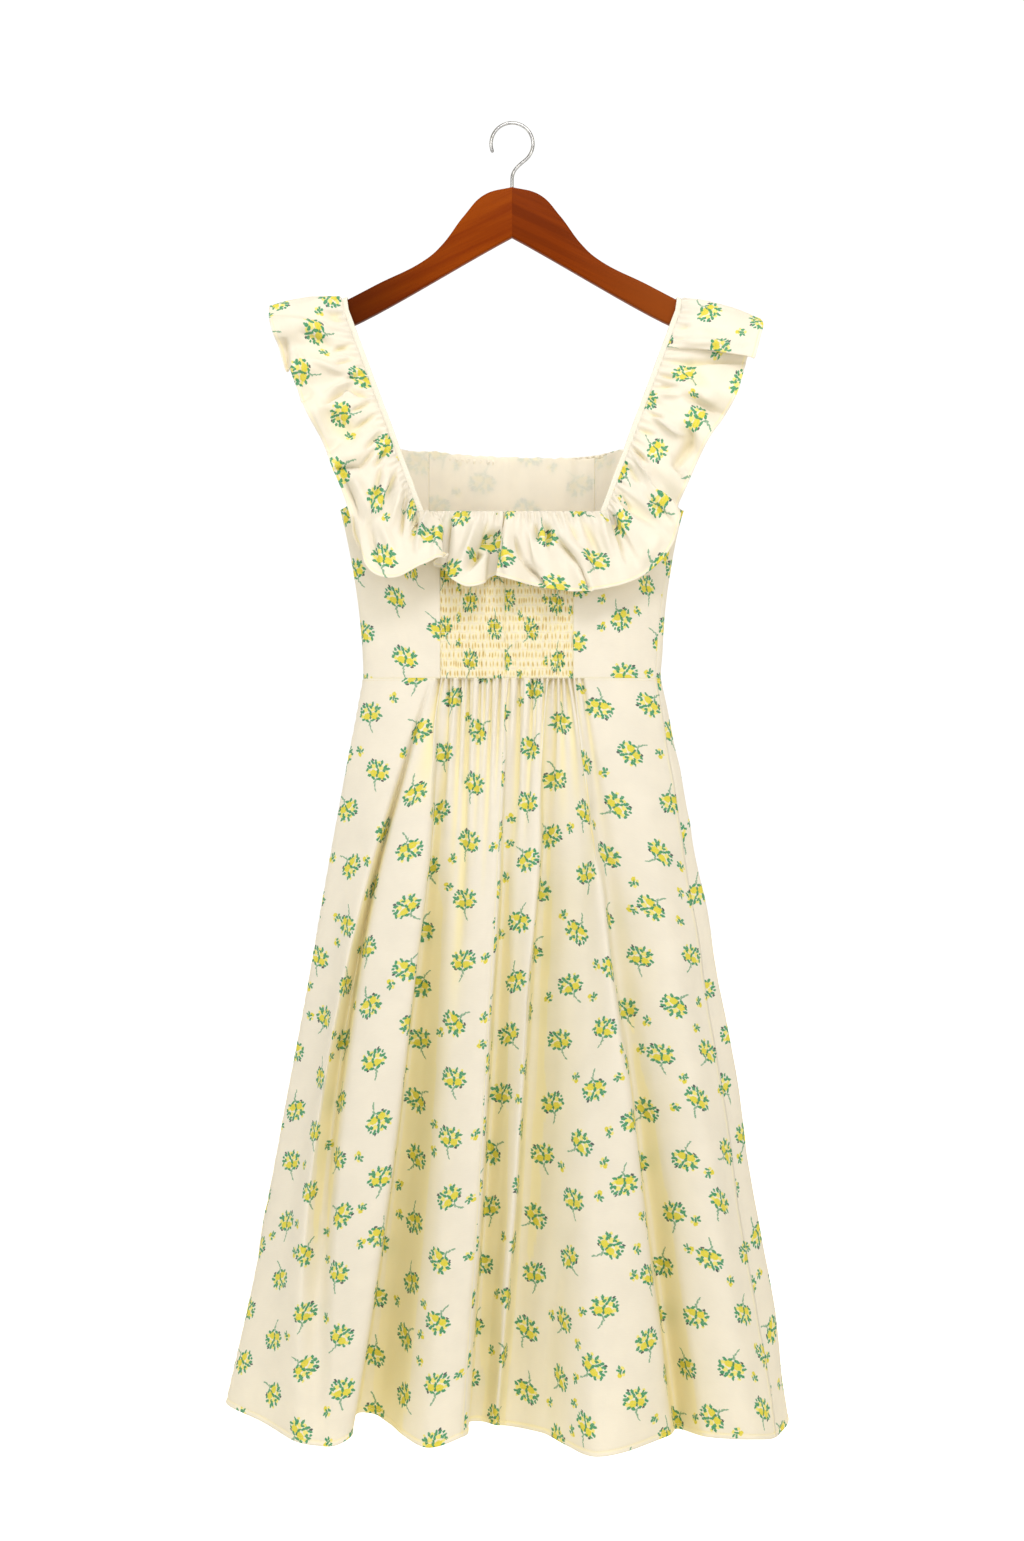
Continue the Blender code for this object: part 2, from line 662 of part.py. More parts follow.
def fold_line(waist_x, middle_x, hem_x, middle_y, hem_y, hem_z, side):
    """A fold from waist to hem: a parabola through its three places."""
    waist_y = side * body_depth(waist_x, WAIST_Z)
    drops = np.array(SKIRT_ROWS)
    at_waist = 2 * (drops - 0.5) * (drops - 1)
    at_middle = 4 * drops * (1 - drops)
    at_hem = 2 * drops * (drops - 0.5)
    x = at_waist * waist_x + at_middle * middle_x + at_hem * hem_x
    y = at_waist * waist_y + at_middle * middle_y + at_hem * hem_y
    z = between(WAIST_Z - SEAM_GAP / 2, hem_z, drops)
    return np.stack([x, y, z], axis=1)


def gathers_in(first, second, side):
    """How many gathers lie between two fold lines at the waist."""
    low, high = BACK_GATHERS if side == NEAR else FRONT_GATHERS
    left, right = sorted((first[1], second[1]))
    if left < low or right > high or right - left < LEAST_GATHER:
        return 0
    return max(1, round((right - left) / GATHER_PITCH))


def add_skirt():
    folds = BACK_FOLDS + FRONT_FOLDS
    sides = [NEAR] * len(BACK_FOLDS) + [FAR] * len(FRONT_FOLDS)
    lines = np.array([fold_line(*fold[1:], side) for fold, side in zip(folds, sides)])
    counts = [gathers_in(fold, folds[(i + 1) % len(folds)], sides[i]) for i, fold in enumerate(folds)]
    steps = [GATHER_STEPS * count if count else PLAIN_STEPS[side] for count, side in zip(counts, sides)]
    outer = flowing_lines(lines, steps, closed=True)
    normals = outward_normals(outer, closed=True)
    ripple = np.concatenate([
        np.sin(2 * math.pi * count * np.arange(step) / step) for count, step in zip(counts, steps)
    ])
    fade = np.maximum(0.0, 1 - np.array(SKIRT_ROWS) / GATHER_FADE)
    outer = outer + normals * (GATHER_DEPTH * fade[:, None, None] * ripple[None, :, None])
    normals = outward_normals(outer, closed=True)
    normals[:, :, 2] = 0.0
    inner = outer - unit(normals) * CLOTH
    starts = dict(zip([fold[0] for fold in folds], np.cumsum([0] + steps[:-1])))
    total = outer.shape[1]
    for name, first, last in (
        ("skirt_back_left", "side_left", "centre_seam"),
        ("skirt_back_right", "centre_seam", "side_right"),
        ("skirt_front", "side_right", "side_left"),
    ):
        end = starts[last] if starts[last] > starts[first] else starts[last] + total
        chosen = [column % total for column in range(starts[first], end + 1)]
        panel_outer, panel_inner = outer[:, chosen], inner[:, chosen]
        open_seams(panel_outer, panel_inner)
        add_wall(name, panel_outer, panel_inner, MATERIALS["cloth"])


# The hanger


def add_arm(name, mirrored, material):
    """One half of the wooden hanger: a flat outline with rounded edges and half of the hook's hole."""
    outline = bpy.data.curves.new(name, "CURVE")
    outline.dimensions = "2D"
    outline.fill_mode = "BOTH"
    outline.extrude = ARM_HALF_THICKNESS
    outline.resolution_u = 4
    spline = outline.splines.new("BEZIER")
    spline.bezier_points.add(len(ARM_OUTLINE) - 1)
    spline.use_cyclic_u = True
    for point, (x, z, kind) in zip(spline.bezier_points, ARM_OUTLINE):
        point.co = (-x if mirrored else x, z, 0.0)
        point.handle_left_type = point.handle_right_type = "AUTO" if kind == "flows" else "VECTOR"
    drawn = bpy.data.objects.new(name + "_outline", outline)
    PARTS.objects.link(drawn)
    drawn.rotation_euler.x = math.pi / 2
    bpy.context.view_layer.update()
    solid = drawn.evaluated_get(bpy.context.evaluated_depsgraph_get())
    mesh = bpy.data.meshes.new_from_object(solid)
    mesh.transform(drawn.matrix_world)
    bpy.data.objects.remove(drawn, do_unlink=True)
    mesh.name = name
    work = bmesh.new()
    work.from_mesh(mesh)
    bmesh.ops.remove_doubles(work, verts=work.verts, dist=0.00002)
    bmesh.ops.dissolve_limit(work, angle_limit=0.01, verts=work.verts, edges=work.edges)
    rims = []
    for edge in work.edges:
        on_face = abs(edge.verts[0].co.y - edge.verts[1].co.y) < 1e-5
        on_joint = max(abs(vertex.co.x) for vertex in edge.verts) < 0.001
        if on_face and not on_joint and edge.calc_face_angle(0.0) > math.radians(60):
            rims.append(edge)
    bmesh.ops.bevel(work, geom=rims, offset=ARM_ROUNDING, segments=2, profile=0.5, affect="EDGES")
    bmesh.ops.recalc_face_normals(work, faces=work.faces)
    work.to_mesh(mesh)
    work.free()
    mesh.shade_smooth()
    mesh.set_sharp_from_angle(angle=math.radians(40))
    return add_mesh(name, mesh, material)


def add_hanger():
    bottom = SHANK_BOTTOM_Z - SEAM_GAP
    bpy.ops.mesh.primitive_cylinder_add(
        vertices=16,
        radius=SHANK_HOLE,
        depth=HOLE_TOP_Z - bottom,
        location=(0.0, 0.0, between(bottom, HOLE_TOP_Z, 0.5)),
    )
    hole = bpy.context.object
    hole.name = "hole_cutter"
    hole.hide_render = True
    hole.display_type = "WIRE"
    for collection in list(hole.users_collection):
        collection.objects.unlink(hole)
    CUTTERS.objects.link(hole)
    for name, mirrored, finish in (
        ("hanger_arm_left", True, "wood_left"),
        ("hanger_arm_right", False, "wood_right"),
    ):
        arm = add_arm(name, mirrored, MATERIALS[finish])
        cut = arm.modifiers.new("hook_hole", "BOOLEAN")
        cut.operation = "DIFFERENCE"
        cut.solver = "EXACT"
        cut.object = hole


def hook_route():
    """The wire's centre line: up the shank, out to the round of the hook and over to its tip."""
    centre_z = HOOK_WIRE - HOOK_RADIUS

    def on_round(turn):
        return np.array((HOOK_RADIUS * math.cos(turn), centre_z + HOOK_RADIUS * math.sin(turn)))

    foot = np.array((0.0, SHANK_TOP_Z))
    above = foot + (0.0, HOOK_NECK)
    joins = on_round(HOOK_START_TURN)
    before = joins + HOOK_NECK * np.array((math.sin(HOOK_START_TURN), -math.cos(HOOK_START_TURN)))
    route = [(0.0, SHANK_BOTTOM_Z), foot]
    for s in (0.2, 0.4, 0.6, 0.8):
        route.append(
            (1 - s) ** 3 * foot + 3 * s * (1 - s) ** 2 * above + 3 * s**2 * (1 - s) * before + s**3 * joins
        )
    for share in np.linspace(0, 1, 19):
        route.append(on_round(between(HOOK_START_TURN, HOOK_END_TURN, share)))
    return route


def add_hook():
    wire = bpy.data.curves.new("hanger_hook", "CURVE")
    wire.dimensions = "3D"
    wire.bevel_depth = HOOK_WIRE
    wire.bevel_resolution = 2
    wire.use_fill_caps = True
    route = hook_route()
    spline = wire.splines.new("POLY")
    spline.points.add(len(route) - 1)
    for point, (x, z) in zip(spline.points, route):
        point.co = (x, 0.0, z, 1.0)
    made = bpy.data.objects.new("hanger_hook", wire)
    wire.materials.append(MATERIALS["metal"])
    PARTS.objects.link(made)


clear_scene()
PARTS = new_collection("ruffle_dress")
CUTTERS = new_collection("cutters")
MATERIALS = {name: new_material(name) for name in FINISHES}
add_hanger()
add_hook()
add_bodice()
add_straps()
add_ruffles()
add_skirt()
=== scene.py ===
"""Looks of the ruffle dress: thin printed cloth, smocking, straps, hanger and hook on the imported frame.

The dress shows its back, which faces -Y. +X is the viewer's right and +Z is up.
The origin is where the hook rests on its rail. Sizes are in metres where no comment says otherwise.
"""

import math

import bmesh
import bpy
import numpy as np
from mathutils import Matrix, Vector


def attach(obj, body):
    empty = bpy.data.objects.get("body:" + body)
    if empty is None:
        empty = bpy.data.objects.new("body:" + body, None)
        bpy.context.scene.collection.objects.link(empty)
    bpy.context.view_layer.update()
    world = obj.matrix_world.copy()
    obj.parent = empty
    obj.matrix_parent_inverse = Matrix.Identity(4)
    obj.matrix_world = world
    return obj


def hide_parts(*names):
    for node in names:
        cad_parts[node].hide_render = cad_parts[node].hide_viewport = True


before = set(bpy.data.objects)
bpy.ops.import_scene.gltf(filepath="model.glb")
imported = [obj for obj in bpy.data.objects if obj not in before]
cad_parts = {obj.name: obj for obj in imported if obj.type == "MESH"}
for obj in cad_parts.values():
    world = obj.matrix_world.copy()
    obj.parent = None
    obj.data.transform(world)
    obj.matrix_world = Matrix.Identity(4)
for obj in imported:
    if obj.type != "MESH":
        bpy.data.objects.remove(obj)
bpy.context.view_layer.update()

CLOTH = 0.0014
SEAM_GAP = 0.0003

# The bodice, a flattened tube: half widths, half depths, heights below the rail and its panels' widths,
# and in how many rounds a panel's top settles on the neckline
WAIST_Z = -0.5817
UNDERARM_Z = -0.405
BACK_NECK_Z = -0.4106
SHOULDER_Z = -0.193
WAIST_HALF_WIDTH = 0.156
CHEST_HALF_WIDTH = 0.180
BODY_HALF_DEPTH = 0.036
SHOULDER_HALF_DEPTH = 0.0152
BODY_SQUARENESS = 2.5
BACK_SIDE_WIDTH = 0.115
FRONT_SIDE_WIDTH = 0.105
FRONT_CENTRE_WIDTH = 0.180
CHEST_FLARE = 1.8
EDGE_ROUNDS = 6

# Seams of the bodice: x of the smocking's edges, of the centre back and of the front's panels
SMOCK_LEFT_X = -0.0745
SMOCK_RIGHT_X = 0.0635
CENTRE_BACK_X = -0.0075
FRONT_PANEL_X = 0.088
RIGHT_SEAM_ANGLE = 2 * math.pi - 0.2834

# The front neckline: z at the centre, at the panel seams and at the straps
FRONT_NECK_XS = (0.0, 0.088, 0.1180, 0.1290)
FRONT_NECK_ZS = (-0.351, -0.345, -0.338, -0.338)
FRONT_EDGE_XS = (-0.112, -0.094, -0.056, -0.014, 0.04, 0.093, 0.112)
FRONT_EDGE_ZS = (-0.336, -0.3385, -0.3425, -0.3450, -0.3465, -0.3475, -0.340)
BACK_SHOULDER_Z = -0.335
FRONT_SHOULDER_Z = -0.300
ARMHOLE_CURVE = 1.7

# Elastic straps: their feet on the back and front necklines and their top over the hanger's arm
STRAP_WIDTH = 0.009
STRAP_THICKNESS = 0.0024
STRAP_SIDE = 0.0048
STRAP_TO_PANEL = 0.0005
BACK_FOOT_X = 0.0957
FRONT_FOOT_X = 0.1235
STRAP_TOP_X = 0.1745
STRAP_TOP_Z = -0.198
STRAP_RISE = 0.0142
STRAP_LEAN = 0.002
STRAP_CLEAR_Y = 0.0090
STRAP_ROWS = 440
STRAP_ARCH_ROWS = 80
STRAP_ARCH_POWER = 2 / 3
ARM_DIRECTION = (0.894, 0.0, -0.447)

# Ruffles
RUFFLE_ROWS = 34
RUFFLE_STEPS = 14
RUFFLE_SWELL = 0.0042
RUFFLE_ABOVE_NECK = 0.0010
RUFFLE_BACK_CORNER_X = 0.0985
RUFFLE_FRONT_CORNER_X = 0.1265
RUFFLE_FRONT_END_X = 0.0006
RUFFLE_SIDE_LEAN = 0.004
RUFFLE_UP_LEAN = 0.008
CENTRE_BACK_SLIT = 0.0012

# Skirt: where its back and its front are gathered
BACK_GATHERS = (-0.076, 0.070)
FRONT_GATHERS = (-0.080, 0.080)

# Hanger. Its halves overlap by a hair at the joint, so that no light shows through. The hook's wire has
# so many steps in its shank, its neck and its round, and then some in its tip.
ARM_HALF_THICKNESS = 0.006
ARM_ROUNDING = 0.0028
ARM_JOINT_TOP_Z = -0.0662
ARM_JOINT_BOTTOM_Z = -0.1187
JOINT_OVERLAP = 0.00003
JOINT_REACH = 0.001
ARM_WELD = 0.00002
ARM_FLATNESS = 0.002
ARM_RIM_ANGLE = math.radians(60)
ARM_SHARP_ANGLE = math.radians(40)
HOOK_RADIUS = 0.022
HOOK_WIRE = 0.0018
WIRE_FOOT_Z = -0.075
SHANK_TOP_Z = -0.058
HOOK_NECK = 0.010
HOOK_START_TURN = math.radians(-50)
HOOK_END_TURN = math.radians(200)
HOOK_SIDES = 20
HOOK_STEPS = (8, 14, 72)
TIP_STEPS = 5

NEAR = -1
FAR = 1

# Fold lines of the skirt, counter-clockwise seen from above, beginning at the left side seam.
# Each holds x at the waist, halfway down and at the hem, y halfway down and at the hem, and z of the hem.
BACK_FOLDS = (
    ("side_left", -0.156, -0.225, -0.298, 0.0, 0.0, -1.341),
    ("left_soft", -0.130, -0.202, -0.258, -0.030, -0.050, -1.348),
    ("crest_a", -0.087, -0.188, -0.219, -0.060, -0.095, -1.357),
    ("valley_a", -0.083, -0.176, -0.197, -0.036, -0.104, -1.3585),
    ("rise_a", -0.079, -0.163, -0.178, -0.064, -0.110, -1.357),
    ("crest_b", -0.0745, -0.110, -0.163, -0.082, -0.104, -1.350),
    ("valley_b", -0.0695, -0.105, -0.160, -0.030, -0.030, -1.344),
    ("floor_b", -0.0645, -0.092, -0.142, -0.036, -0.028, -1.346),
    ("rise_c", -0.0445, -0.0625, -0.084, -0.064, -0.106, -1.360),
    ("centre_seam", -0.006, -0.0245, -0.0505, -0.072, -0.100, -1.350),
    ("valley_d", -0.001, -0.0175, -0.0435, -0.042, -0.044, -1.350),
    ("rise_e", 0.0185, -0.003, -0.030, -0.054, -0.042, -1.3505),
    ("crest_e", 0.038, 0.013, -0.0165, -0.068, -0.058, -1.350),
    ("valley_e", 0.0425, 0.021, -0.005, -0.026, -0.032, -1.3575),
    ("floor_e", 0.0485, 0.0405, 0.033, -0.034, -0.048, -1.3605),
    ("rise_f", 0.056, 0.079, 0.085, -0.062, -0.128, -1.363),
    ("crest_f", 0.063, 0.111, 0.157, -0.076, -0.088, -1.3535),
    ("valley_f", 0.0695, 0.121, 0.172, -0.034, -0.034, -1.360),
    ("rise_g", 0.082, 0.1435, 0.199, -0.042, -0.072, -1.358),
    ("crest_g", 0.1135, 0.1825, 0.2425, -0.048, -0.086, -1.357),
    ("side_right", 0.151, 0.2125, 0.272, -0.018, -0.050, -1.364),
)
FRONT_FOLDS = (
    ("edge_right", 0.156, 0.229, 0.290, 0.0, 0.0, -1.355),
    ("crest_h", 0.130, 0.185, 0.246, 0.042, 0.066, -1.353),
    ("valley_i", 0.102, 0.148, 0.198, 0.034, 0.044, -1.354),
    ("crest_i", 0.095, 0.136, 0.182, 0.060, 0.090, -1.352),
    ("valley_j", 0.058, 0.090, 0.122, 0.036, 0.040, -1.350),
    ("crest_j", 0.052, 0.078, 0.104, 0.072, 0.104, -1.352),
    ("valley_k", 0.018, 0.022, 0.030, 0.040, 0.040, -1.350),
    ("crest_k", 0.012, 0.010, 0.012, 0.074, 0.096, -1.352),
    ("valley_l", -0.024, -0.038, -0.058, 0.040, 0.044, -1.350),
    ("crest_l", -0.030, -0.050, -0.075, 0.072, 0.104, -1.352),
    ("valley_m", -0.068, -0.106, -0.152, 0.036, 0.040, -1.350),
    ("crest_m", -0.075, -0.115, -0.165, 0.072, 0.098, -1.351),
    ("valley_n", -0.112, -0.172, -0.225, 0.030, 0.040, -1.349),
    ("crest_n", -0.120, -0.185, -0.246, 0.052, 0.078, -1.346),
)

# Folds of the ruffles, placed as the camera sees them, in millimetres. A fold runs from its first
# place to its second, each x and how far below the rail. Then come its half width, its height, below 0
# for a hollow, and its sharp side: 1 right of its run as it falls, -1 left, 0 none.
LEFT_RUFFLE_FOLDS = (
    (-192, 199, -172, 204, 5.2, -3.0, 0), (-249, 206, -192, 216, 6.3, 3.0, 0),
    (-238, 229, -233, 273, 6.3, -6.5, 1), (-224, 237, -220, 273, 5.2, 2.0, -1),
    (-196, 292, -172, 276, 3.2, -4.0, -1), (-194, 282, -168, 267, 4.2, 3.0, 0),
    (-172, 277, -151, 287, 3.2, -3.0, -1), (-192, 303, -169, 325, 9.5, -4.5, 0),
    (-209, 294, -192, 334, 5.2, 2.5, 0), (-185, 363, -159, 360, 2.7, -4.0, -1),
    (-182, 350, -158, 346, 6.3, 2.0, 0), (-170, 371, -160, 382, 6.3, 3.0, 0),
    (-177, 366, -156, 418, 3.2, -4.0, 1), (-165, 371, -147, 413, 5.2, 3.0, 0),
    (-121, 363, -133, 394, 2.3, -4.0, 0), (-109, 382, -116, 430, 2.5, -4.5, 1),
    (-116, 374, -126, 420, 4.2, 3.5, 0), (-98, 400, -106, 439, 3.2, -3.5, 0),
    (-86, 405, -99, 447, 4.2, 4.5, 1), (-136, 355, -146, 394, 2.5, -3.0, 0),
    (-144, 342, -161, 363, 2.3, -3.0, 0), (-129, 363, -142, 410, 3.8, 2.6, 0),
    (-45, 464, -15, 430, 7.4, -7.0, -1), (-36, 416, -54, 468, 5.2, 4.5, 0),
    (-64, 409, -70, 460, 3.2, -4.0, 1), (-25, 417, -30, 449, 3.2, -3.5, 0),
    (-77, 407, -81, 458, 4.2, 3.0, 0), (-224, 216, -192, 232, 4.2, -2.5, 0),
    (-211, 248, -182, 260, 5.2, 2.6, -1), (-140, 416, -123, 453, 5.2, 3.0, 0),
    (-148, 420, -140, 464, 3.6, -3.0, 1), (-169, 231, -188, 237, 1.9, -2.4, 0),
    (-164, 245, -186, 250, 1.9, -2.6, 0), (-158, 262, -175, 268, 1.9, -2.4, 0),
    (-148, 290, -169, 302, 2.1, -2.8, 0), (-143, 304, -165, 319, 2.1, -3.0, 0),
    (-136, 321, -154, 340, 2.1, -3.0, 0), (-130, 338, -144, 359, 2.1, -3.0, 0),
    (-212, 281, -224, 287, 4.2, -3.0, 0), (-181, 332, -201, 344, 4.2, -2.5, 0),
    (-166, 416, -159, 458, 5.2, -5.0, 1),
)
RIGHT_RUFFLE_FOLDS = (
    (163, 250, 251, 248, 4.2, -4.0, -1), (167, 231, 253, 229, 6.3, 2.0, -1),
    (186, 254, 201, 277, 8.4, -3.0, 0), (146, 287, 180, 283, 3.2, 2.4, 0),
    (180, 285, 222, 307, 4.2, -4.0, -1), (175, 292, 213, 317, 6.3, 2.6, 0),
    (151, 307, 180, 327, 3.2, 3.4, 1), (184, 315, 186, 344, 6.3, -6.0, 0),
    (185, 340, 171, 359, 5.2, -4.5, 0), (171, 355, 184, 374, 4.2, -3.5, 1),
    (163, 348, 180, 371, 5.2, 2.4, 0), (128, 344, 146, 380, 3.2, 3.4, 1), (146, 380, 177, 413, 3.6, 3.6, 1),
    (140, 386, 167, 418, 4.2, -3.0, 0), (110, 391, 152, 420, 5.2, -3.0, 0),
    (101, 403, 119, 458, 2.7, -4.0, -1), (108, 401, 133, 453, 4.2, 3.0, 0),
    (91, 409, 104, 449, 3.6, 2.6, 0), (39, 418, 39, 443, 2.5, -3.6, 0), (48, 433, 70, 462, 3.2, -4.5, 1),
    (70, 462, 85, 488, 3.2, -4.5, 1), (56, 432, 81, 464, 4.2, 3.0, 0), (5, 434, 12, 455, 3.2, -4.5, 1),
    (12, 455, 34, 484, 2.9, -4.0, 1), (18, 426, 28, 464, 4.6, 3.5, 0), (24, 418, 26, 436, 2.1, -3.2, 0),
    (33, 416, 41, 430, 2.1, -2.8, 0), (62, 418, 70, 436, 2.5, -2.6, 0), (77, 416, 91, 453, 3.2, -2.6, 0),
    (-5, 420, -6, 470, 4.2, 3.0, 0), (159, 226, 186, 224, 2.1, -2.4, 0), (163, 216, 186, 211, 2.5, -2.6, 0),
    (154, 262, 171, 266, 2.1, -2.4, 0), (149, 275, 171, 275, 2.1, -2.6, 0),
    (140, 302, 159, 308, 2.1, -2.6, 0), (133, 319, 150, 325, 2.1, -2.4, 0),
    (125, 338, 142, 355, 2.3, -3.0, 0), (119, 355, 133, 374, 2.3, -2.8, 0),
    (108, 382, 123, 401, 2.3, -3.0, 0), (196, 216, 249, 233, 5.2, -2.0, 0),
    (209, 290, 196, 277, 5.2, 2.4, 0), (154, 436, 135, 464, 5.2, 2.6, 0),
)

# Pleats under the smocking: x at the waist, depth, half width and length, in millimetres
BACK_PLEATS = (
    (-75.9, 2.6, 1.5, 60), (-71.0, 1.6, 1.1, 34), (-65.7, 2.4, 1.3, 70), (-61.9, 1.4, 0.9, 26),
    (-53.8, 2.6, 1.4, 90), (-49.7, 1.5, 1.0, 30), (-44.6, 2.8, 1.5, 150), (-40.8, 1.4, 0.9, 28),
    (-32.8, 2.2, 1.3, 80), (-27.9, 2.0, 1.2, 46), (-21.3, 2.4, 1.3, 95), (-17.6, 1.2, 0.9, 22),
    (-12.1, 2.2, 1.2, 60), (-2.2, 1.6, 1.1, 34), (7.5, 2.8, 1.6, 80), (11.4, 1.3, 0.9, 24),
    (21.2, 2.4, 1.3, 72), (25.6, 1.8, 1.1, 40), (29.4, 1.3, 0.9, 26), (34.2, 2.0, 1.2, 48),
    (40.4, 2.8, 1.5, 70), (45.6, 2.2, 1.2, 56), (51.0, 2.0, 1.2, 66), (56.2, 2.2, 1.2, 60),
    (62.0, 2.2, 1.3, 90), (66.8, 1.4, 1.0, 36), (73.0, 1.6, 1.3, 70),
)

# Ribs of the ruffles, a row for each crest and trough. The share is how far along the root the rib
# starts, then come its lower end's x, depth out from the middle plane and z.
# From the centre back to the top of the left shoulder, with x counted to the left:
LEFT_BACK_RIBS = (
    (0.0, 0.0103, 0.042, -0.4734),
    (0.025, 0.0247, 0.046, -0.480),
    (0.05, 0.0287, 0.066, -0.4866),
    (0.09, 0.0459, 0.072, -0.4902),
    (0.125, 0.0624, 0.066, -0.4815),
    (0.155, 0.071, 0.051, -0.470),
    (0.175, 0.080, 0.0415, -0.467),
    (0.195, 0.0815, 0.0475, -0.463),
    (0.222, 0.0644, 0.070, -0.4573),
    (0.243, 0.0937, 0.078, -0.4692),
    (0.265, 0.1204, 0.072, -0.481),
    (0.295, 0.1446, 0.060, -0.474),
    (0.335, 0.1597, 0.048, -0.446),
    (0.40, 0.1669, 0.050, -0.4153),
    (0.455, 0.1769, 0.038, -0.3863),
    (0.51, 0.1866, 0.046, -0.3625),
    (0.565, 0.198, 0.034, -0.334),
    (0.63, 0.2126, 0.044, -0.3075),
    (0.685, 0.2231, 0.030, -0.2817),
    (0.745, 0.2317, 0.040, -0.2602),
    (0.80, 0.2425, 0.024, -0.238),
    (0.86, 0.249, 0.032, -0.2215),
    (0.925, 0.2536, 0.016, -0.2042),
    (1.0, 0.2541, 0.0, -0.190),
)
# The same for the right shoulder, with x counted to the right:
RIGHT_BACK_RIBS = (
    (0.0, -0.0164, 0.064, -0.4784),
    (0.02, -0.001, 0.072, -0.483),
    (0.055, 0.0205, 0.060, -0.4882),
    (0.09, 0.0378, 0.070, -0.492),
    (0.125, 0.0616, 0.060, -0.4944),
    (0.17, 0.0787, 0.070, -0.4941),
    (0.215, 0.0955, 0.058, -0.4911),
    (0.26, 0.1157, 0.064, -0.4866),
    (0.30, 0.1369, 0.052, -0.4763),
    (0.335, 0.1551, 0.056, -0.4603),
    (0.375, 0.1672, 0.044, -0.4416),
    (0.415, 0.1721, 0.048, -0.4235),
    (0.47, 0.172, 0.034, -0.4044),
    (0.52, 0.1796, 0.044, -0.386),
    (0.575, 0.1919, 0.032, -0.3585),
    (0.63, 0.2033, 0.044, -0.3353),
    (0.685, 0.2191, 0.028, -0.3125),
    (0.735, 0.2317, 0.040, -0.2902),
    (0.785, 0.2426, 0.022, -0.2574),
    (0.81, 0.2481, 0.018, -0.2401),
    (0.835, 0.2498, 0.044, -0.253),
    (0.89, 0.257, 0.034, -0.2303),
    (0.945, 0.2621, 0.014, -0.2101),
    (1.0, 0.2573, 0.0, -0.2023),
)
# From the top of either shoulder down to the centre front:
FRONT_RIBS = (
    (0.06, 0.250, 0.014, -0.207),
    (0.13, 0.246, 0.030, -0.226),
    (0.20, 0.237, 0.020, -0.247),
    (0.27, 0.228, 0.038, -0.268),
    (0.34, 0.218, 0.024, -0.292),
    (0.41, 0.207, 0.042, -0.315),
    (0.48, 0.196, 0.030, -0.340),
    (0.545, 0.186, 0.050, -0.366),
    (0.60, 0.172, 0.044, -0.392),
    (0.65, 0.150, 0.062, -0.412),
    (0.70, 0.126, 0.048, -0.424),
    (0.76, 0.100, 0.066, -0.429),
    (0.82, 0.074, 0.050, -0.430),
    (0.88, 0.048, 0.068, -0.430),
    (0.94, 0.022, 0.052, -0.429),
    (1.0, RUFFLE_FRONT_END_X, 0.066, -0.428),
)

# One half of the hanger's outline, from the top of the joint round the arm's end and back.
# Each point holds x, z and whether the outline turns there or flows on.
ARM_OUTLINE = (
    (-JOINT_OVERLAP / 2, ARM_JOINT_TOP_Z, "turns"),
    (0.0294, -0.0746, "flows"),
    (0.0504, -0.0965, "flows"),
    (0.0735, -0.1270, "flows"),
    (0.0895, -0.1415, "flows"),
    (0.1428, -0.1690, "flows"),
    (0.1680, -0.1822, "flows"),
    (0.1900, -0.1934, "flows"),
    (0.2022, -0.2035, "flows"),
    (0.2020, -0.2150, "flows"),
    (0.1900, -0.2195, "flows"),
    (-JOINT_OVERLAP / 2, ARM_JOINT_BOTTOM_Z, "turns"),
)

# Fine shape of the cloth, which the plain solids don't have
THIN_CLOTH = 0.0006
PANEL_PITCH = 0.0020
PANEL_ROWS = 70
PANEL_EXTRA_DROPS = (0.006, 0.013, 0.98, 0.99, 0.998)
EDGE_STEPS = (0.0006, 0.0013, 0.0022, 0.0035)
SEAM_WIDTH = 0.0016
SEAM_DEPTH = 0.0005
# The width and strength of the painted shade along the seam grooves
SEAM_LINE = 0.0008
SEAM_PAINTED_SHADE = 0.22
HELD_SIDE = (0.0, 0.014)
HELD_WAIST = (0.001, 0.030)
WAIST_TUCK = 0.0012
WAIST_BLEND = 0.040

# Waves of the cloth, from a square table of draws: pitch across and along, height, and the seed of those
# that are drawn once. A lean moves a wave aside as it falls, and a fall is how far down it dies away.
WAVE_TABLE = 64
BACK_HOLLOWS = (0.045, 0.09, 0.0018, 3)
BACK_DRAGS = (0.011, 0.12, 0.0009, 7)
DRAG_LEAN = 0.25
FRONT_DRAPE = (0.012, 1.0, 0.0022, 11)
FRONT_DRAPE_FALL = 0.050
FRONT_DRAPE_LEAN = 0.1
FRONT_TUCKS = (0.0042, 1.0, 0.0008, 17)
FRONT_TUCKS_FALL = 0.014
FRONT_HOLLOWS = (0.050, 0.08, 0.0016, 5)
STRAP_WAVER = (0.012, 1.0, 0.00025, 31)
RUFFLE_HOLLOWS = (0.020, 0.045, 0.0007)
SKIRT_HOLLOWS = (0.055, 0.20, 0.0022, 47)
SKIRT_RIPPLES = (0.018, 0.16, 0.0006, 53)

# The front's upper edge: where the strap holds it, and two small waves of height, radians a metre and start
EDGE_HELD = (0.088, 0.112)
EDGE_WAVES = ((0.0005, 520.0, 0.0), (0.0004, 233.0, 1.0))

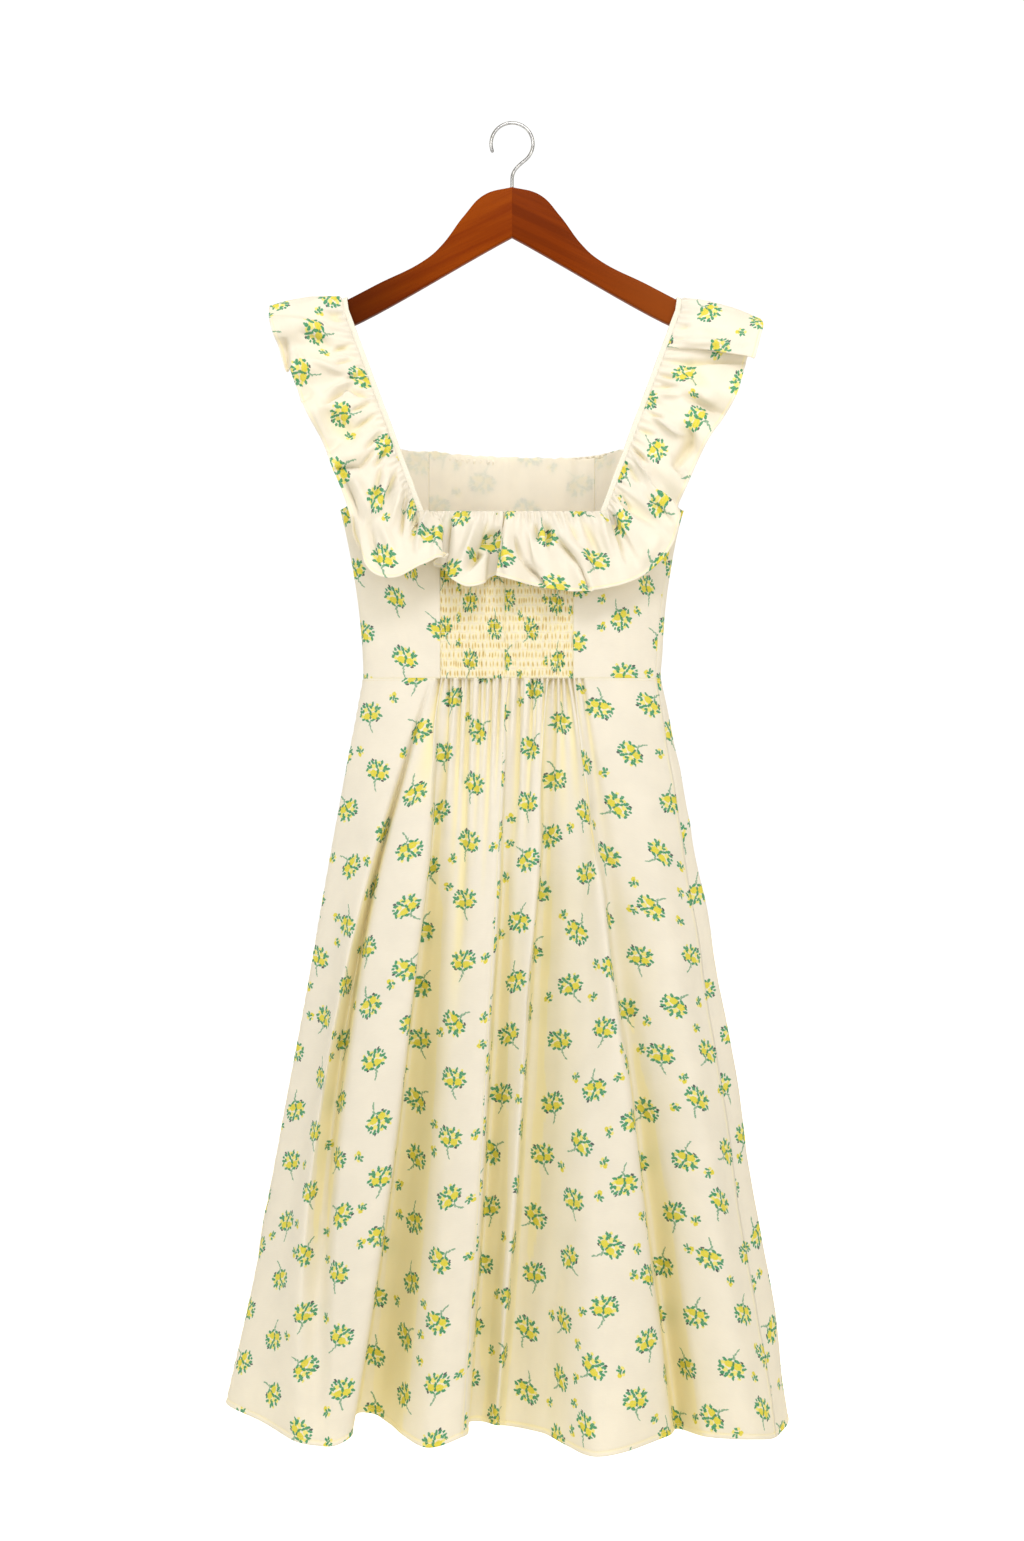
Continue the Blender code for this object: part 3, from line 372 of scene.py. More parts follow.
# Smocking: rows of thread, and the slits between its puffs, whose measures are drawn between two limits
SMOCK_WIDTH = 0.070
SMOCK_COLUMN_PITCH = 0.0004
SMOCK_HIDDEN = 0.36
SMOCK_HIDDEN_ROWS = 34
SMOCK_SHOWN_ROWS = 128
SMOCK_SQUEEZE = 1.9
# A share of painted shade over all the smocking, for its many small shadows
SMOCK_PAINTED_SHADE = 0.20
SMOCK_SEAM_WIDTH = 0.0012
SMOCK_SEAM_DEPTH = 0.0010
# The width and strength of the painted shade along the smocking's seams
SMOCK_SEAM_LINE = 0.0007
SMOCK_SEAM_PAINTED_SHADE = 0.55
SMOCK_PLAIN_TOP = (-0.012, -0.003)
PUFF_HEIGHT = 0.0007
THREAD_PITCH = 0.0094
THREAD_RADIUS = 0.00022
THREAD_PROUD = 0.6
THREAD_SIDES = 5
LEAST_ACROSS = 0.2
THREAD_GROOVE = 0.0004
THREAD_GROOVE_WIDTH = 0.0005
THREADLESS_TOP = 0.010
SMOCK_RIBS = (0.0016, THREAD_PITCH * 0.7, 0.00035)
SLIT_PITCH = 0.0034
SLIT_DEPTH = 0.0020
# How strongly the slits take painted shade
SLIT_PAINTED_SHADE = 1.3
SLIT_REACH = 0.62
SLIT_MARGIN = 0.0008
SLIT_FIRST = (0.2, 0.8)
SLIT_NEXT = (0.62, 1.45)
SLIT_HALF_LONG = (0.36, 0.54)
SLIT_DEEP = (0.6, 1.0)
SLIT_WIDE = (0.00065, 0.00105)
SLIT_LEAN = (-0.07, 0.07)
SLIT_SHIFT = (-0.0008, 0.0008)

# Stitches, with the pitch and length of those at the waist and at the hem
STITCH_RADIUS = 0.00016
STITCH_RISE = (-0.2, 1.0, 1.0, -0.2)
WAIST_STITCHES = (0.0026, 0.0018)
HEM_STITCHES = (0.0030, 0.0020)

# Ribs and rounded edges of the straps
RIB_PITCH = 0.0019
RIB_EDGE = 0.00035
RIB_DEPTH = 0.00035
STRAP_SIDES = 20
STRAP_EDGE_POWER = 0.45
STRAP_FACE_POWER = 0.75

# Ruffles: rows near the root and the hem, the stitched hem, and small folds at the root, whose measures
# are drawn between two limits
RUFFLE_EXTRA_DROPS = (0.015, 0.935, 0.95, 0.965, 0.982, 0.992)
RUFFLE_HEM = 0.0030
HEM_EDGE = 0.0006
HEM_RISE = 0.00030
HEM_GROOVE = 0.00035
# The width and strength of the painted shade along the hem's groove
HEM_LINE = 0.0007
HEM_PAINTED_SHADE = 0.35
ROOT_OVERLAP = 0.0030
ROOT_POINTS = 12
ROOT_GATHER = 0.0033
# Painted shade in the hollows of the folds near the root
ROOT_PAINTED_SHADE = 0.16
ROOT_MARGIN = 0.002
ROOT_HEIGHT = (0.5, 1.0)
ROOT_SHORT_SHARE = 0.6
ROOT_SHORT = (0.16, 0.5)
ROOT_LONG = (0.55, 1.1)
ROOT_WIDTH = (0.0014, 0.0026)
ROOT_LEAN = (-0.010, 0.010)
ROOT_NEXT = (0.0020, 0.0048)
ROOT_FADE = 1.1
ROOT_START = 0.15
ROOT_RISE = 0.03
ROOT_WIDENING = 2.6

# The ruffles' folds: a sharp side's share of the width, their strength, the share of painted shade in their
# hollows and the depth that has all of it, how fast folds and hollows start below the root, and where the far
# side ends
SHARP_SHARE = 0.38
FOLD_STRENGTH = 2.35
FOLD_PAINTED_SHADE = 0.05
FOLD_PAINTED_SHADE_DEPTH = 0.006
FOLD_ROOT_RISE = 9
HOLLOW_ROOT_RISE = 3
NEAR_BLEND = (-0.004, 0.004)

# Skirt: its grid, its hem and its seams
SKIRT_ROWS = ((0.0, 0.085, 30), (0.085, 0.985, 100), (0.985, 1.0, 10))
SKIRT_PITCH = 0.0046
FRONT_COARSENESS = 1.7
LEAST_STEPS = {NEAR: 13, FAR: 9}
MOST_STEPS = 26
SKIRT_HOLLOWS_RISE = 0.08
SKIRT_RIPPLES_RISE = 0.05
SKIRT_LEAN = 0.05
SKIRT_HEM = 0.0045
SKIRT_HEM_EDGE = 0.0008
SKIRT_HEM_RISE = 0.0005
SKIRT_HEM_GROOVE = 0.0006
SKIRT_LINE = 0.0010
# The strength of the painted shade along the hem's groove
SKIRT_HEM_PAINTED_SHADE = 0.30
SKIRT_SEAMS = ("side_left", "centre_seam", "side_right")
# The width of the painted shade along the seams
SKIRT_SEAM_LINE = 0.0011
PUCKER_HEIGHT = 0.00045
PUCKER_PLACE = 0.004
PUCKER_WIDTH = 0.0028
PUCKER_PITCH = 0.013
PUCKER_SWING = 0.6
PUCKER_DRIFT = 31

# Gathers at the waist, drawn between two limits
GATHER_HEIGHT = 0.0018
GATHER_SHORT_SHARE = 0.7
GATHER_SHORT = (0.018, 0.075)
GATHER_LONG = (0.09, 0.22)
GATHER_SHARES = (0.45, 1.0)
GATHER_WIDTH = (0.0012, 0.0026)
GATHER_NEXT = (0.0018, 0.0046)
GATHER_START = 0.001
GATHER_RISE = 0.0015
GATHER_FADE = 1.2
GATHER_SPREAD = 0.075
GATHERS_BY_PLEATS = 0.3

# Pleats under the smocking, which widen and fade as they fall, with painted shade along their middles
PLEAT_SPREAD = 0.080
DEEPEST_PLEAT = 2.8
PLEAT_PAINTED_SHADE = 0.72
PLEAT_LINE = 1.8
PLEAT_REACH = 2.5
PLEAT_FADE = 1.4
PLEAT_TOP = 0.35
PLEAT_RISE = 0.004
PLEAT_STRENGTH = 3.2
PLEAT_WIDENING = 1.25
PLEAT_PITCH = 0.0009

# Painted shade in the skirt's hollows, by how far cloth near by hides them, and less of it high up and at the
# hem
HOLLOW_REACH = 0.12
HOLLOW_PAINTED_SHADE = 0.62
HOLLOW_LEAST_RISE = 0.0002
HOLLOW_TOP = 0.08
HOLLOW_RISE = 2.8
HOLLOW_FADE = 0.4
MOST_PAINTED_SHADE = 0.48

# The skirt laid flat for its print: the cloth that the gathers draw in, and its length
GATHER_FULLNESS = 1.6
GATHERED_SHARE = 0.35
GATHERED_FADE = 1.5
SKIRT_LENGTH = 0.775

# The camera stands on the middle line, looking along +Y. Its lens and sensor are in millimetres.
CAMERA_DISTANCE = 2.6
CAMERA_Z = -0.678
LENS = 57.86
SENSOR = 36.0

# The print, in millimetres: the cell that holds a posy, the posy's scale, the share of cells between them
# that hold a sprig, and how far apart the weave's threads lie
POSY_WIDTH = 50.0
POSY_HEIGHT = 60.0
POSY_SCALE = 1.34
SPRIG_SHARE = 0.36
THREAD_SPACING = 0.62

# The print's draws: how far a motif is moved, how many ways it may face and how far it leans, in radians.
# Then come how ragged its edges are, how its ink ends, 1 on a petal's or a leaf's rim, a shift that keeps
# the numbers of columns above 0, and a distance that no ink reaches.
POSY_JITTER = 7.0
POSY_TURNS = 2.0
POSY_LEAN = 1.3
POSY_NARROWING = 0.92
POSY_SHORTENING = 1.06
SPRIG_JITTER = 8.0
SPRIG_TURNS = 8.0
RAGGED_SCALE = 0.55
RAGGED_REACH = 1.9
INK_EDGE = (0.86, 1.12)
EVEN_SHIFT = 1000.0
FAR_AWAY = 9.0

# Where on the print each panel is cut, in metres
PRINT_SHIFTS = {
    "back_side_left": (1.013, 5.021),
    "back_side_right": (1.422, 5.034),
    "front_side_right": (1.811, 5.018),
    "front_centre": (2.205, 5.040),
    "front_side_left": (2.617, 5.023),
    "smock_left": (3.016, 5.020),
    "smock_right": (3.422, 5.050),
    "ruffle_left": (4.013, 6.008),
    "ruffle_right": (6.021, 6.027),
    "skirt_back_left": (8.010, 7.012),
    "skirt_back_right": (10.030, 7.030),
    "skirt_front": (13.020, 7.008),
}

# Light, then each lamp's place, what it points at, its size in metres, power in watts and colour
ENVIRONMENT_TONE = (1.0, 0.968, 0.83, 1.0)
ENVIRONMENT_STRENGTH = 0.88
LAMPS = (
    ("key", (-2.6, -2.0, 0.4), (0.0, 0.0, -0.75), (1.0, 1.4), 20.0, (0.93, 0.94, 0.95)),
    ("neck", (0.1, -1.1, 0.5), (0.0, 0.0, -0.41), (0.5, 0.4), 7.4, (1.0, 0.97, 0.97)),
    ("fill", (1.6, -3.0, -0.2), (0.0, 0.0, -0.75), (1.6, 2.0), 22.0, (1.0, 0.955, 0.90)),
)
FLOOR_Z = -1.62
FLOOR_RADIUS = 12.0
FLOOR_GLOW = 0.62
COVE_RADIUS = 11.76
COVE_GLOW = 1.05
WHITE = (1.0, 1.0, 1.0, 1.0)
CREAM = (0.865, 0.825, 0.765, 1.0)
IVORY = (1.0, 0.98, 0.965, 1.0)
# Painted shade: the warm tone and the deep golden tone that the cloth's colour turns to in creases and
# hollows
PAINTED_WARM_SHADE = (0.94, 0.872, 0.58, 1.0)
PAINTED_DEEP_SHADE = (0.70, 0.51, 0.19, 1.0)
THROUGH_TONE = (1.0, 0.93, 0.66, 1.0)

# The arms' wood: dark, middle and light grain and the outer end, as display values, then the grain's lean
# Lit and shaded copies of one wood: the left arm's tones are lighter as painted light, the right arm's darker
# as painted shade
WOODS = {
    "wood_left": ((116, 43, 1), (133, 57, 2), (146, 68, 3), (66, 20, 0), 0.45),
    "wood_right": ((100, 36, 1), (117, 45, 1), (131, 56, 3), (132, 63, 18), -0.45),
}
WOOD_END = (0.045, 0.18)


def between(low, high, share):
    return low + (high - low) * share


def unit(vectors):
    return vectors / np.linalg.norm(vectors, axis=-1, keepdims=True)


def flowing_lines(lines, steps, closed):
    """Columns of a smooth surface through the given lines, an array of line, row and xyz.

    steps holds how many columns each gap between two lines is divided into.
    """
    count = len(lines)
    gaps = count if closed else count - 1
    following = np.roll(lines, -1, axis=0)
    knots = np.linalg.norm(following - lines, axis=2, keepdims=True) ** 0.5
    knots = np.maximum(knots, 1e-6)
    slopes = np.empty_like(lines)
    for index in range(count):
        before, after = (index - 1) % count, (index + 1) % count
        if not closed and index == 0:
            slopes[0] = (lines[1] - lines[0]) / knots[0]
        elif not closed and index == count - 1:
            slopes[index] = (lines[index] - lines[before]) / knots[before]
        else:
            back = (lines[index] - lines[before]) / knots[before]
            ahead = (lines[after] - lines[index]) / knots[index]
            across = (lines[after] - lines[before]) / (knots[before] + knots[index])
            slopes[index] = back + ahead - across
    columns = []
    for gap in range(gaps):
        after = (gap + 1) % count
        for step in range(steps[gap]):
            s = step / steps[gap]
            columns.append(
                (2 * s**3 - 3 * s**2 + 1) * lines[gap]
                + (s**3 - 2 * s**2 + s) * knots[gap] * slopes[gap]
                + (3 * s**2 - 2 * s**3) * lines[after]
                + (s**3 - s**2) * knots[gap] * slopes[after]
            )
    if not closed:
        columns.append(lines[-1])
    return np.array(columns).transpose(1, 0, 2)


def outward_normals(grid, closed):
    """Unit normals of a grid whose rows run down and columns counter-clockwise."""
    down = np.gradient(grid, axis=0)
    if closed:
        along = np.roll(grid, -1, axis=1) - np.roll(grid, 1, axis=1)
    else:
        along = np.gradient(grid, axis=1)
    return unit(np.cross(down, along))


# The bodice


def half_width(z):
    share = min(1.0, max(0.0, (z - WAIST_Z) / (UNDERARM_Z - WAIST_Z)))
    return between(WAIST_HALF_WIDTH, CHEST_HALF_WIDTH, share**CHEST_FLARE)


def half_depth(z):
    share = min(1.0, max(0.0, (z - BACK_NECK_Z) / (SHOULDER_Z - BACK_NECK_Z)))
    return between(BODY_HALF_DEPTH, SHOULDER_HALF_DEPTH, share)


def signed_power(value, power):
    return math.copysign(abs(value) ** power, value)


def body_point(angle, z):
    power = 2 / BODY_SQUARENESS
    x = half_width(z) * signed_power(math.cos(angle), power)
    y = half_depth(z) * signed_power(math.sin(angle), power)
    return np.array((x, y, z))


def body_normal(angle, z):
    power = 2 * (BODY_SQUARENESS - 1) / BODY_SQUARENESS
    x = signed_power(math.cos(angle), power) / half_width(z)
    y = signed_power(math.sin(angle), power) / half_depth(z)
    return unit(np.array((x, y, 0.0)))


def body_depth(x, z):
    """How far the bodice's outer face stands out from the middle plane at x."""
    share = min(1.0, abs(x) / half_width(z))
    return half_depth(z) * (1 - share**BODY_SQUARENESS) ** (1 / BODY_SQUARENESS)


def seam_at(x, side):
    """A seam's angle round the bodice as a function of z, for a seam that runs straight up at x."""

    def angle(z):
        share = signed_power(min(1.0, abs(x) / half_width(z)), BODY_SQUARENESS / 2)
        return 2 * math.pi + side * math.acos(math.copysign(share, x))

    return angle


def seam_round(angle):
    return lambda z: angle


def strap_slope(side):
    foot_x, foot_z = strap_foot(side)
    return (STRAP_TOP_Z - foot_z) / (STRAP_TOP_X - foot_x)


def strap_foot(side):
    if side == NEAR:
        return BACK_FOOT_X, BACK_NECK_Z + SEAM_GAP
    return FRONT_FOOT_X, float(np.interp(FRONT_FOOT_X, FRONT_NECK_XS, FRONT_NECK_ZS)) + SEAM_GAP


def shoulder_corner(side):
    """Where the bodice's edge along the strap ends and the armhole begins."""
    foot_x, foot_z = strap_foot(side)
    z = BACK_SHOULDER_Z if side == NEAR else FRONT_SHOULDER_Z
    return foot_x + STRAP_SIDE + STRAP_TO_PANEL + (z - foot_z) / strap_slope(side), z


def top_edge(x, side):
    """z of the bodice's upper edge: the neckline, then along the strap, then the armhole."""
    x = abs(x)
    foot_x, foot_z = strap_foot(side)
    corner_x, corner_z = shoulder_corner(side)
    edge_x = foot_x + STRAP_SIDE + STRAP_TO_PANEL
    if x <= edge_x:
        return BACK_NECK_Z if side == NEAR else float(np.interp(x, FRONT_NECK_XS, FRONT_NECK_ZS))
    if x <= corner_x:
        return foot_z - SEAM_GAP + (x - edge_x) * strap_slope(side)
    share = max(0.0, (CHEST_HALF_WIDTH - x) / (CHEST_HALF_WIDTH - corner_x))
    return UNDERARM_Z + (corner_z - UNDERARM_Z) * share**ARMHOLE_CURVE


# The straps and the line that the ruffles hang from


def strap_depth(x, z):
    """Level with the bodice low down, and clear of the hanger's arm at the top."""
    return ((body_depth(x, z) - STRAP_THICKNESS / 2) ** 4 + STRAP_CLEAR_Y**4) ** 0.25


def strap_line():
    """The right strap from its back foot over the arm to its front foot: centres and width vectors."""
    low_across = np.array((STRAP_SIDE / (STRAP_WIDTH / 2), 0.0, 0.0))
    arm_across = np.array(ARM_DIRECTION)
    centres = []
    acrosses = []

    def add_straight(side, shares):
        foot_x, foot_z = strap_foot(side)
        for share in shares:
            x = between(foot_x, STRAP_TOP_X, share)
            z = between(foot_z, STRAP_TOP_Z, share)
            centres.append((x, side * strap_depth(x, z), z))
            acrosses.append(between(low_across, arm_across, share))

    rising = [row / STRAP_ROWS for row in range(STRAP_ROWS)]
    add_straight(NEAR, rising)
    top_depth = strap_depth(STRAP_TOP_X, STRAP_TOP_Z)
    for row in range(STRAP_ARCH_ROWS + 1):
        turn = math.pi * row / STRAP_ARCH_ROWS
        height = abs(math.sin(turn)) ** STRAP_ARCH_POWER
        y = -top_depth * signed_power(math.cos(turn), STRAP_ARCH_POWER)
        centres.append((STRAP_TOP_X + STRAP_LEAN * height, y, STRAP_TOP_Z + STRAP_RISE * height))
        acrosses.append(arm_across)
    add_straight(FAR, rising[::-1])
    centres = np.array(centres)
    acrosses = np.array(acrosses)
    outs = unit(np.cross(acrosses, np.gradient(centres, axis=0)))
    outs[[0, -1], 2] = 0.0
    return centres, acrosses, outs


def ruffle_root(start_x):
    """The root of a right ruffle from centre back to centre front, and which point is the shoulder's top."""
    centres, acrosses, outs = strap_line()
    stand_off = STRAP_WIDTH / 2 - ROOT_OVERLAP
    along_strap = centres + acrosses * stand_off + outs * (STRAP_THICKNESS / 2 + SEAM_GAP + THIN_CLOTH)
    top = STRAP_ROWS + STRAP_ARCH_ROWS // 2

    def neckline(xs, side):
        points = []
        for x in xs:
            z = top_edge(x, side) + RUFFLE_ABOVE_NECK
            points.append((x, side * (body_depth(x, z) + SEAM_GAP + CLOTH), z))
        return np.array(points)

    back_xs = np.linspace(start_x, RUFFLE_BACK_CORNER_X, ROOT_POINTS)
    front_xs = np.linspace(RUFFLE_FRONT_CORNER_X, RUFFLE_FRONT_END_X, ROOT_POINTS)
    back = np.concatenate([neckline(back_xs, NEAR), along_strap[1 : top + 1]])
    front = np.concatenate([along_strap[top + 1 : -1], neckline(front_xs, FAR)])
    return np.concatenate([back, front]), len(back) - 1


def distances_along(path):
    return np.concatenate([[0], np.cumsum(np.linalg.norm(np.diff(path, axis=0), axis=1))])


def points_along(path, distances):
    reached = distances_along(path)
    return np.stack([np.interp(distances, reached, path[:, axis]) for axis in range(3)], axis=1)


# Sheets of cloth


def grid_mesh(name, grid, flat, shade=None, mirrored=False):
    """A sheet through a grid whose rows run down and columns counter-clockwise seen from above.

    flat holds each point's place on the uncut cloth, and shade how much painted shade its colour takes.
    """
    rows, columns = grid.shape[:2]
    points = grid.reshape(-1, 3)
    at = np.arange(rows * columns).reshape(rows, columns)
    quads = np.stack([at[:-1, :-1], at[1:, :-1], at[1:, 1:], at[:-1, 1:]], axis=-1).reshape(-1, 4)
    if mirrored:
        points = points * (-1, 1, 1)
        quads = quads[:, ::-1]
    mesh = bpy.data.meshes.new(name)
    mesh.from_pydata(points.tolist(), [], quads.tolist())
    corners = np.empty(len(mesh.loops), dtype=np.int32)
    mesh.loops.foreach_get("vertex_index", corners)
    layer = mesh.uv_layers.new(name="cloth")
    layer.data.foreach_set("uv", flat.reshape(-1, 2)[corners].astype(np.float32).ravel())
    # This attribute holds painted shade for creases, hollows, slits and seam and hem grooves.
    depth = mesh.attributes.new("painted_shade", "FLOAT", "POINT")
    values = np.zeros(rows * columns) if shade is None else shade.ravel()
    depth.data.foreach_set("value", values.astype(np.float32))
    mesh.shade_smooth()
    return mesh


def add_piece(name, mesh, slot, *nodes):
    """An object for the mesh that rides on the dress's one body and stands for the nodes."""
    made = bpy.data.objects.new(name, mesh)
    bpy.context.scene.collection.objects.link(made)
    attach(made, "root")
    if nodes:
        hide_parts(*nodes)
    return made


def add_cloth(name, grid, flat, shade=None, mirrored=False, node=None, thickness=THIN_CLOTH):
    mesh = grid_mesh(name, grid, flat, shade, mirrored)
    mesh.materials.append(LOOKS["print"])
    mesh.materials.append(LOOKS["wrong_side"])
    made = add_piece(name, mesh, "cloth", node or name.removesuffix("_cloth"))
    solid = made.modifiers.new("thickness", "SOLIDIFY")
    solid.thickness = thickness
    solid.offset = -1
    solid.material_offset = 1
    return made


def waves(u, v, pitch_u, pitch_v, height, seed):
    """Soft hills and hollows up to height either way, about one to each pitch."""
    table = np.random.default_rng(seed).uniform(-1, 1, (WAVE_TABLE, WAVE_TABLE))
    a, b = u / pitch_u, v / pitch_v
    i, j = np.floor(a).astype(int), np.floor(b).astype(int)
    fa, fb = a - i, b - j
    fa, fb = fa * fa * (3 - 2 * fa), fb * fb * (3 - 2 * fb)

    def corner(di, dj):
        return table[(i + di) % WAVE_TABLE, (j + dj) % WAVE_TABLE]

    low = between(corner(0, 0), corner(1, 0), fa)
    high = between(corner(0, 1), corner(1, 1), fa)
    return between(low, high, fb) * height


def seen(points):
    """Where the camera sees points against the middle plane: x and how far below the rail, in millimetres."""
    nearer = 1 + points[..., 1] / CAMERA_DISTANCE
    below_camera = (CAMERA_Z - points[..., 2]) / nearer
    return 1000 * points[..., 0] / nearer, 1000 * (below_camera - CAMERA_Z)


def placed_folds(points, folds):
    """Relief of the listed folds on the side that the camera sees."""
    across, down = seen(points)
    relief = np.zeros_like(across)
    for start_x, start_y, end_x, end_y, half, height, sharp in folds:
        long = math.hypot(end_x - start_x, end_y - start_y)
        way_x, way_y = (end_x - start_x) / long, (end_y - start_y) / long
        forward = (across - start_x) * way_x + (down - start_y) * way_y
        aside = (across - start_x) * way_y - (down - start_y) * way_x
        widths = np.where(aside * sharp > 0, half * SHARP_SHARE, half)
        ends = np.clip(1 - ((forward - long / 2) / (long / 2 + half)) ** 2, 0, 1)
        relief += FOLD_STRENGTH * height / 1000 * ends * np.exp(-((aside / widths) ** 2))
    return relief * step_up(-points[..., 1], *NEAR_BLEND)


def bump_at(distance, width):
    return np.exp(-((distance / width) ** 2))


def step_up(value, low, high):
    share = np.clip((value - low) / (high - low), 0, 1)
    return share * share * (3 - 2 * share)


def row_lengths(grid):
    """How far along its row each point of a grid lies."""
    steps = np.linalg.norm(np.diff(grid, axis=1), axis=2)
    return np.concatenate([np.zeros((len(grid), 1)), np.cumsum(steps, axis=1)], axis=1)


def column_lengths(grid):
    """How far down its column each point of a grid lies."""
    steps = np.linalg.norm(np.diff(grid, axis=0), axis=2)
    return np.concatenate([np.zeros((1, grid.shape[1])), np.cumsum(steps, axis=0)], axis=0)


# The bodice's cloth


def panel_surface(start, end, shares, drops, edge_wave=None):
    """Points and outward normals of a panel between two seams, from its top edge down to the waist."""
    points = np.empty((len(drops), len(shares), 3))
    normals = np.empty_like(points)
    bottom = WAIST_Z + SEAM_GAP / 2
    for column, share in enumerate(shares):
        top = UNDERARM_Z
        for _ in range(EDGE_ROUNDS):
            angle = between(start(top), end(top), share)
            side = NEAR if angle < 2 * math.pi else FAR
            top = top_edge(body_point(angle, top)[0], side)
        if edge_wave:
            top += edge_wave(body_point(angle, top)[0], top)
        for row, drop in enumerate(drops):
            z = between(top, bottom, drop)
            angle = between(start(z), end(z), share)
            points[row, column] = body_point(angle, z)
            normals[row, column] = body_normal(angle, z)
    return points, normals


def seam_grooves(along, width=SEAM_WIDTH, depth=SEAM_DEPTH):
    """Cloth turns in at both ends of its rows, where it is sewn to the next panel."""
    to_end = along[:, -1:] - along
    return -depth * (bump_at(along, width) + bump_at(to_end, width))


def edge_dense(count, width):
    """Shares from 0 to 1, even but for extra ones close to both ends."""
    extra = np.array(EDGE_STEPS) / width
    shares = np.concatenate([np.linspace(0, 1, count + 1), extra, 1 - extra])
    return np.unique(np.round(shares, 6))


def panel_flat(along, down, name, squeeze=1.0):
    """Places on the uncut cloth, each panel cut from its own part of the print."""
    shift_u, shift_v = PRINT_SHIFTS[name]
    return np.stack([along * squeeze + shift_u, -down + shift_v], axis=2)


def tuck_under(grid, normals):
    """The bodice's lowest row goes a little way behind the skirt, as its seam allowance does."""
    grid[-1] += (0, 0, -WAIST_TUCK)
    grid[-1] -= normals[-1] * WAIST_TUCK / 4


def plain_panel(name, start, end, width, lift, edge_wave=None):
    shares = edge_dense(int(width / PANEL_PITCH), width)
    drops = np.unique(np.concatenate([np.linspace(0, 1, PANEL_ROWS), PANEL_EXTRA_DROPS]))
    points, normals = panel_surface(start, end, shares, drops, edge_wave)
    along, down = row_lengths(points), column_lengths(points)
    relief = lift(along, down, points) + seam_grooves(along)
    to_waist = points[:, :, 2] - WAIST_Z
    grid = points + normals * relief[:, :, None]
    # Painted shade along the seam grooves at the waist and at the side
    painted_shade = np.clip(bump_at(to_waist, SEAM_LINE) + bump_at(along, SEAM_LINE), 0, 1) * SEAM_PAINTED_SHADE
    tuck_under(grid, normals)
    return add_cloth(name + "_cloth", grid, panel_flat(along, -to_waist, name), painted_shade)


def held_flat(along, z):
    """Seams at a panel's sides and at the waist hold its cloth down."""
    to_side = np.minimum(along, along[:, -1:] - along)
    return step_up(to_side, *HELD_SIDE) * step_up(z - WAIST_Z, *HELD_WAIST)


def back_lift(along, down, points):
    """Soft hollows of the plain back panels, and drag lines that lean towards the smocking."""
    x, z = points[:, :, 0], points[:, :, 2]
    relief = waves(x, z, *BACK_HOLLOWS) + waves(x + DRAG_LEAN * z, z, *BACK_DRAGS)
    return relief * held_flat(along, z)


def front_lift(along, down, points):
    """The inner front, gathered softly on its upper edge: long folds that fade downwards."""
    x = points[:, :, 0]
    folds = waves(x + FRONT_DRAPE_LEAN * down, down * 0, *FRONT_DRAPE) * np.exp(-down / FRONT_DRAPE_FALL)
    fine = waves(x, down * 0, *FRONT_TUCKS) * np.exp(-down / FRONT_TUCKS_FALL)
    return (folds + fine + waves(x, down, *FRONT_HOLLOWS)) * held_flat(along, points[:, :, 2])


def front_edge_wave(x, z):
    """The front's upper edge sits a little higher on its left, and is drawn up by its gathers."""
    level = float(np.interp(x, FRONT_EDGE_XS, FRONT_EDGE_ZS))
    near_strap = float(step_up(np.array(abs(x)), *EDGE_HELD))
    wave = sum(height * math.sin(x * pace + start) for height, pace, start in EDGE_WAVES)
    return between(level - z, 0.0, near_strap) + wave


def smock_slits(along, to_waist, seed):
    """Relief and painted shade of the upright slits, an uneven row of them between each two threads."""
    rng = np.random.default_rng(seed)
    relief = np.zeros_like(along)
    painted_shade = np.zeros_like(along)
    width = along[:, -1].mean()
    for band in range(int(to_waist.max() / THREAD_PITCH) + 1):
        middle = (band + 0.5) * THREAD_PITCH
        rows = np.nonzero(np.abs(to_waist[:, 0] - middle) < THREAD_PITCH * SLIT_REACH)[0]
        if not len(rows):
            continue
        near = slice(rows[0], rows[-1] + 1)
        centre = SLIT_PITCH * rng.uniform(*SLIT_FIRST)
        while centre < width - SLIT_MARGIN:
            half_long = THREAD_PITCH * rng.uniform(*SLIT_HALF_LONG)
            deep = rng.uniform(*SLIT_DEEP)
            wide = rng.uniform(*SLIT_WIDE)
            lean = rng.uniform(*SLIT_LEAN)
            up = to_waist[near] - middle - rng.uniform(*SLIT_SHIFT)
            across = along[near] - centre - lean * up
            slit = bump_at(across, wide) * np.clip(1 - (up / half_long) ** 2, 0, 1)
            relief[near] -= SLIT_DEPTH * deep * slit
            # The slits take painted shade as deep as they are
            painted_shade[near] = np.maximum(painted_shade[near], np.clip(SLIT_PAINTED_SHADE * deep * slit, 0, 1))
            centre += SLIT_PITCH * rng.uniform(*SLIT_NEXT)
    return relief, painted_shade


